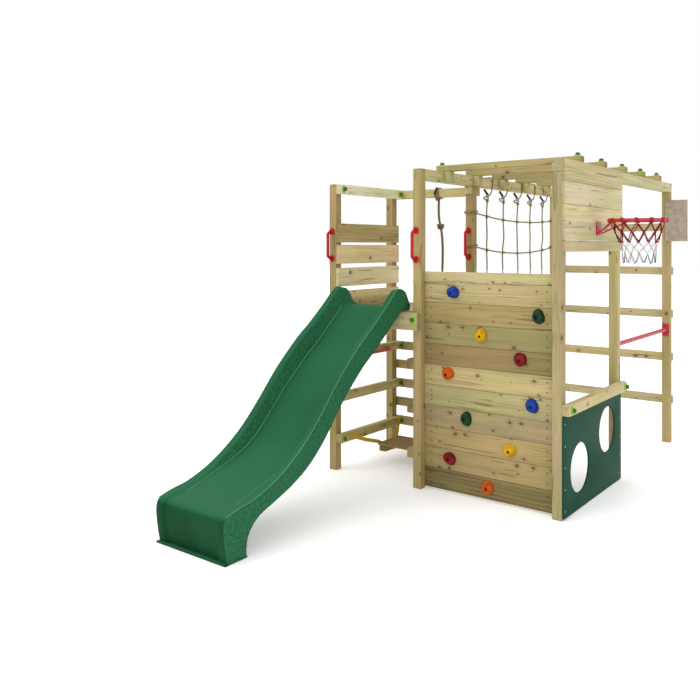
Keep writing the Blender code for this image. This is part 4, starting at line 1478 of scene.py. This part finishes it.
def make_slide():
    columns = [smooth_route(line, 7) for line in zip(*(slide_row(*station) for station in SLIDE_STATIONS))]
    shape = Shape()
    rows = []
    for half in zip(*columns):
        line = list(half) + [Vector((-point.x, point.y, point.z)) for point in reversed(half[:-1])]
        row = []
        for point in line:
            place = at(SLIDE_X + point.x, point.y, max(point.z, 0.0))
            row.append(shape.mesh.verts.new(place))
        rows.append(row)
    for near, far in zip(rows, rows[1:]):
        for index in range(len(near) - 1):
            shape.mesh.faces.new((near[index], far[index], far[index + 1], near[index + 1]))
    slide = shape.done("slide_moulding", MATERIALS["slide"], nodes=["slide"], slot="slide_green", angle=40)
    skin = slide.modifiers.new("skin", "SOLIDIFY")
    skin.thickness = SLIDE_SKIN
    skin.offset = -1.0
    flange = Shape()
    out, inner, tall = 0.254, 0.246, 0.0095
    front, back = -1.5450, -1.395
    flange.block(at(SLIDE_X - out, front, 0.0003), at(SLIDE_X + out, -1.522, tall), 0.0025)
    for side in (-1, 1):
        near, far = sorted((side * inner, side * out))
        flange.block(at(SLIDE_X + near, front, 0.0003), at(SLIDE_X + far, back, tall), 0.0025)
    flange.done("slide_foot_flange", MATERIALS["slide"], slot="slide_green")
    # The beads along the rim crests and at the feet of the flanks are lighter green: painted highlight lines along
    # those edges.
    beads = Shape()
    crests = [(rim[0], rim[1] + 0.0045) for rim, _, _ in SLIDE_STATIONS[1:15]]
    feet = []
    for rim, bed, _ in SLIDE_STATIONS[3:14]:
        sunk = 0.0 if rim[0] > -1.15 else 0.0065 if rim[0] > -1.25 else 0.0105 if rim[0] > -1.40 else 0.0145
        feet.append((bed[0], bed[1] + 0.0105 - sunk))
    for line, half, wire in ((crests, 0.2465, 0.0026), (feet, 0.1800, 0.0032)):
        for side in (-1, 1):
            route = smooth_route([at(SLIDE_X + side * half, y, z) for y, z in line], 7)
            beads.tube(close_points(route, 0.012), wire, 8)
    beads.done("slide_beads", MATERIALS["slide_painted_highlight"], slot="slide_green")
    screws = Shape()
    for x in (-0.11, 0.11):
        screw_head(screws, at(SLIDE_X + x, 0.025, 1.1325), (0, 0, 1))
    screws.done("slide_screws", MATERIALS["steel"])


# ---------------------------------------------------------------- hanging step

STEP_X, STEP_Y = -1.28, 0.485
STEP_LONG, STEP_DEEP = 0.42, 0.27
STEP_TOP, STEP_PLATE, STEP_LOW = 0.131, 0.015, 0.0765
STEP_BATTEN = 0.055


def make_step():
    left, right = STEP_X - STEP_LONG / 2, STEP_X + STEP_LONG / 2
    front, back = STEP_Y - STEP_DEEP / 2, STEP_Y + STEP_DEEP / 2
    tone = (150, 124, 78)
    board = Shape()
    board.block(at(left, front, STEP_TOP - STEP_PLATE), at(right, back, STEP_TOP), 0.0025, 0.0006, 3)
    material = timber_material("wood_step_board", "X", tone, 601, at(STEP_X, STEP_Y, STEP_TOP), contrast=0.8)
    board.done("step_board", material, "step", ["balance_step"], "timber")
    for number, start in enumerate((left + 0.012, right - 0.012 - STEP_BATTEN), start=1):
        batten = Shape()
        low, high = at(start, front + 0.002, STEP_LOW), at(start + STEP_BATTEN, back - 0.002, STEP_TOP - STEP_PLATE)
        batten.block(low, high - Vector((0, 0, 0.0003)), 0.003)
        material = timber_material(f"wood_step_batten_{number}", "Y", tone, 610 + number, (low + high) / 2)
        batten.done(f"step_batten_{number}", material, "step", ["balance_step"], "timber")
    for side in (-1, 1):
        hand = "left" if side < 0 else "right"
        for name, board_y, top_y, top_z in (("front", front + 0.03, 0.085, 0.232), ("rear", back - 0.03, 0.690, 0.250)):
            inner = at(STEP_X + side * (STEP_LONG / 2 - 0.028), board_y, STEP_TOP + 0.0006)
            edge = at(STEP_X + side * (STEP_LONG / 2 - 0.002), board_y, STEP_TOP + 0.0016)
            outer = at(STEP_X + side * 0.2555, top_y, top_z)
            make_strap(f"step_strap_{name}_{hand}", inner, edge, outer, name == "rear")


def make_strap(name, inner, edge, outer, rear):
    """A slack webbing strap that lies flat on the step and upright against the rail."""
    wide, thick = 0.027, 0.0022
    slack = edge.lerp(outer, 0.5) - Vector((0, 0, 0.008))
    line = smooth_route([inner, edge, slack, outer], 12)
    across_step = Vector((0, 1, 0))
    across_rail = Vector((0, 1, 0.15)) if rear else Vector((0, 0.25, 1))
    strap = Shape()
    rows = []
    for index, (point, _, _) in enumerate(frames_along(line, False)):
        share = index / (len(line) - 1)
        turned = min(1.0, max(0.0, (share - 0.35) / 0.6))
        across = across_step.lerp(across_rail, turned**1.3).normalized()
        ahead = line[min(index + 1, len(line) - 1)] - line[max(index - 1, 0)]
        across = (across - ahead.normalized() * across.dot(ahead.normalized())).normalized()
        up = ahead.cross(across).normalized()
        row = []
        for a, b in ((-1, -1), (-0.96, 1), (0.96, 1), (1, -1)):
            row.append(strap.mesh.verts.new(point + across * a * wide / 2 + up * b * thick / 2))
        rows.append(row)
    for near, far in zip(rows, rows[1:]):
        for index in range(4):
            after = (index + 1) % 4
            strap.mesh.faces.new((near[index], near[after], far[after], far[index]))
    strap.mesh.faces.new(list(reversed(rows[0])))
    strap.mesh.faces.new(rows[-1])
    made = strap.done(name, MATERIALS["strap"], body=None, nodes=["balance_step"])
    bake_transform(made)


# ---------------------------------------------------------------- the whole object

make_camera()
make_climbing_rope()
make_studio()
dress_timbers()
make_wall()
for hold in sorted(name for name in NODES if name.startswith("hold_")):
    make_hold(hold, MATERIALS["hold_" + hold.split("_")[2]])
make_hoop_board()
make_hoop()
make_hoop_net()
make_play_panel()
make_deck()
make_extra_rails()
make_bars()
make_handles()
make_net()
make_slide()
make_step()
make_caps()
make_screws()
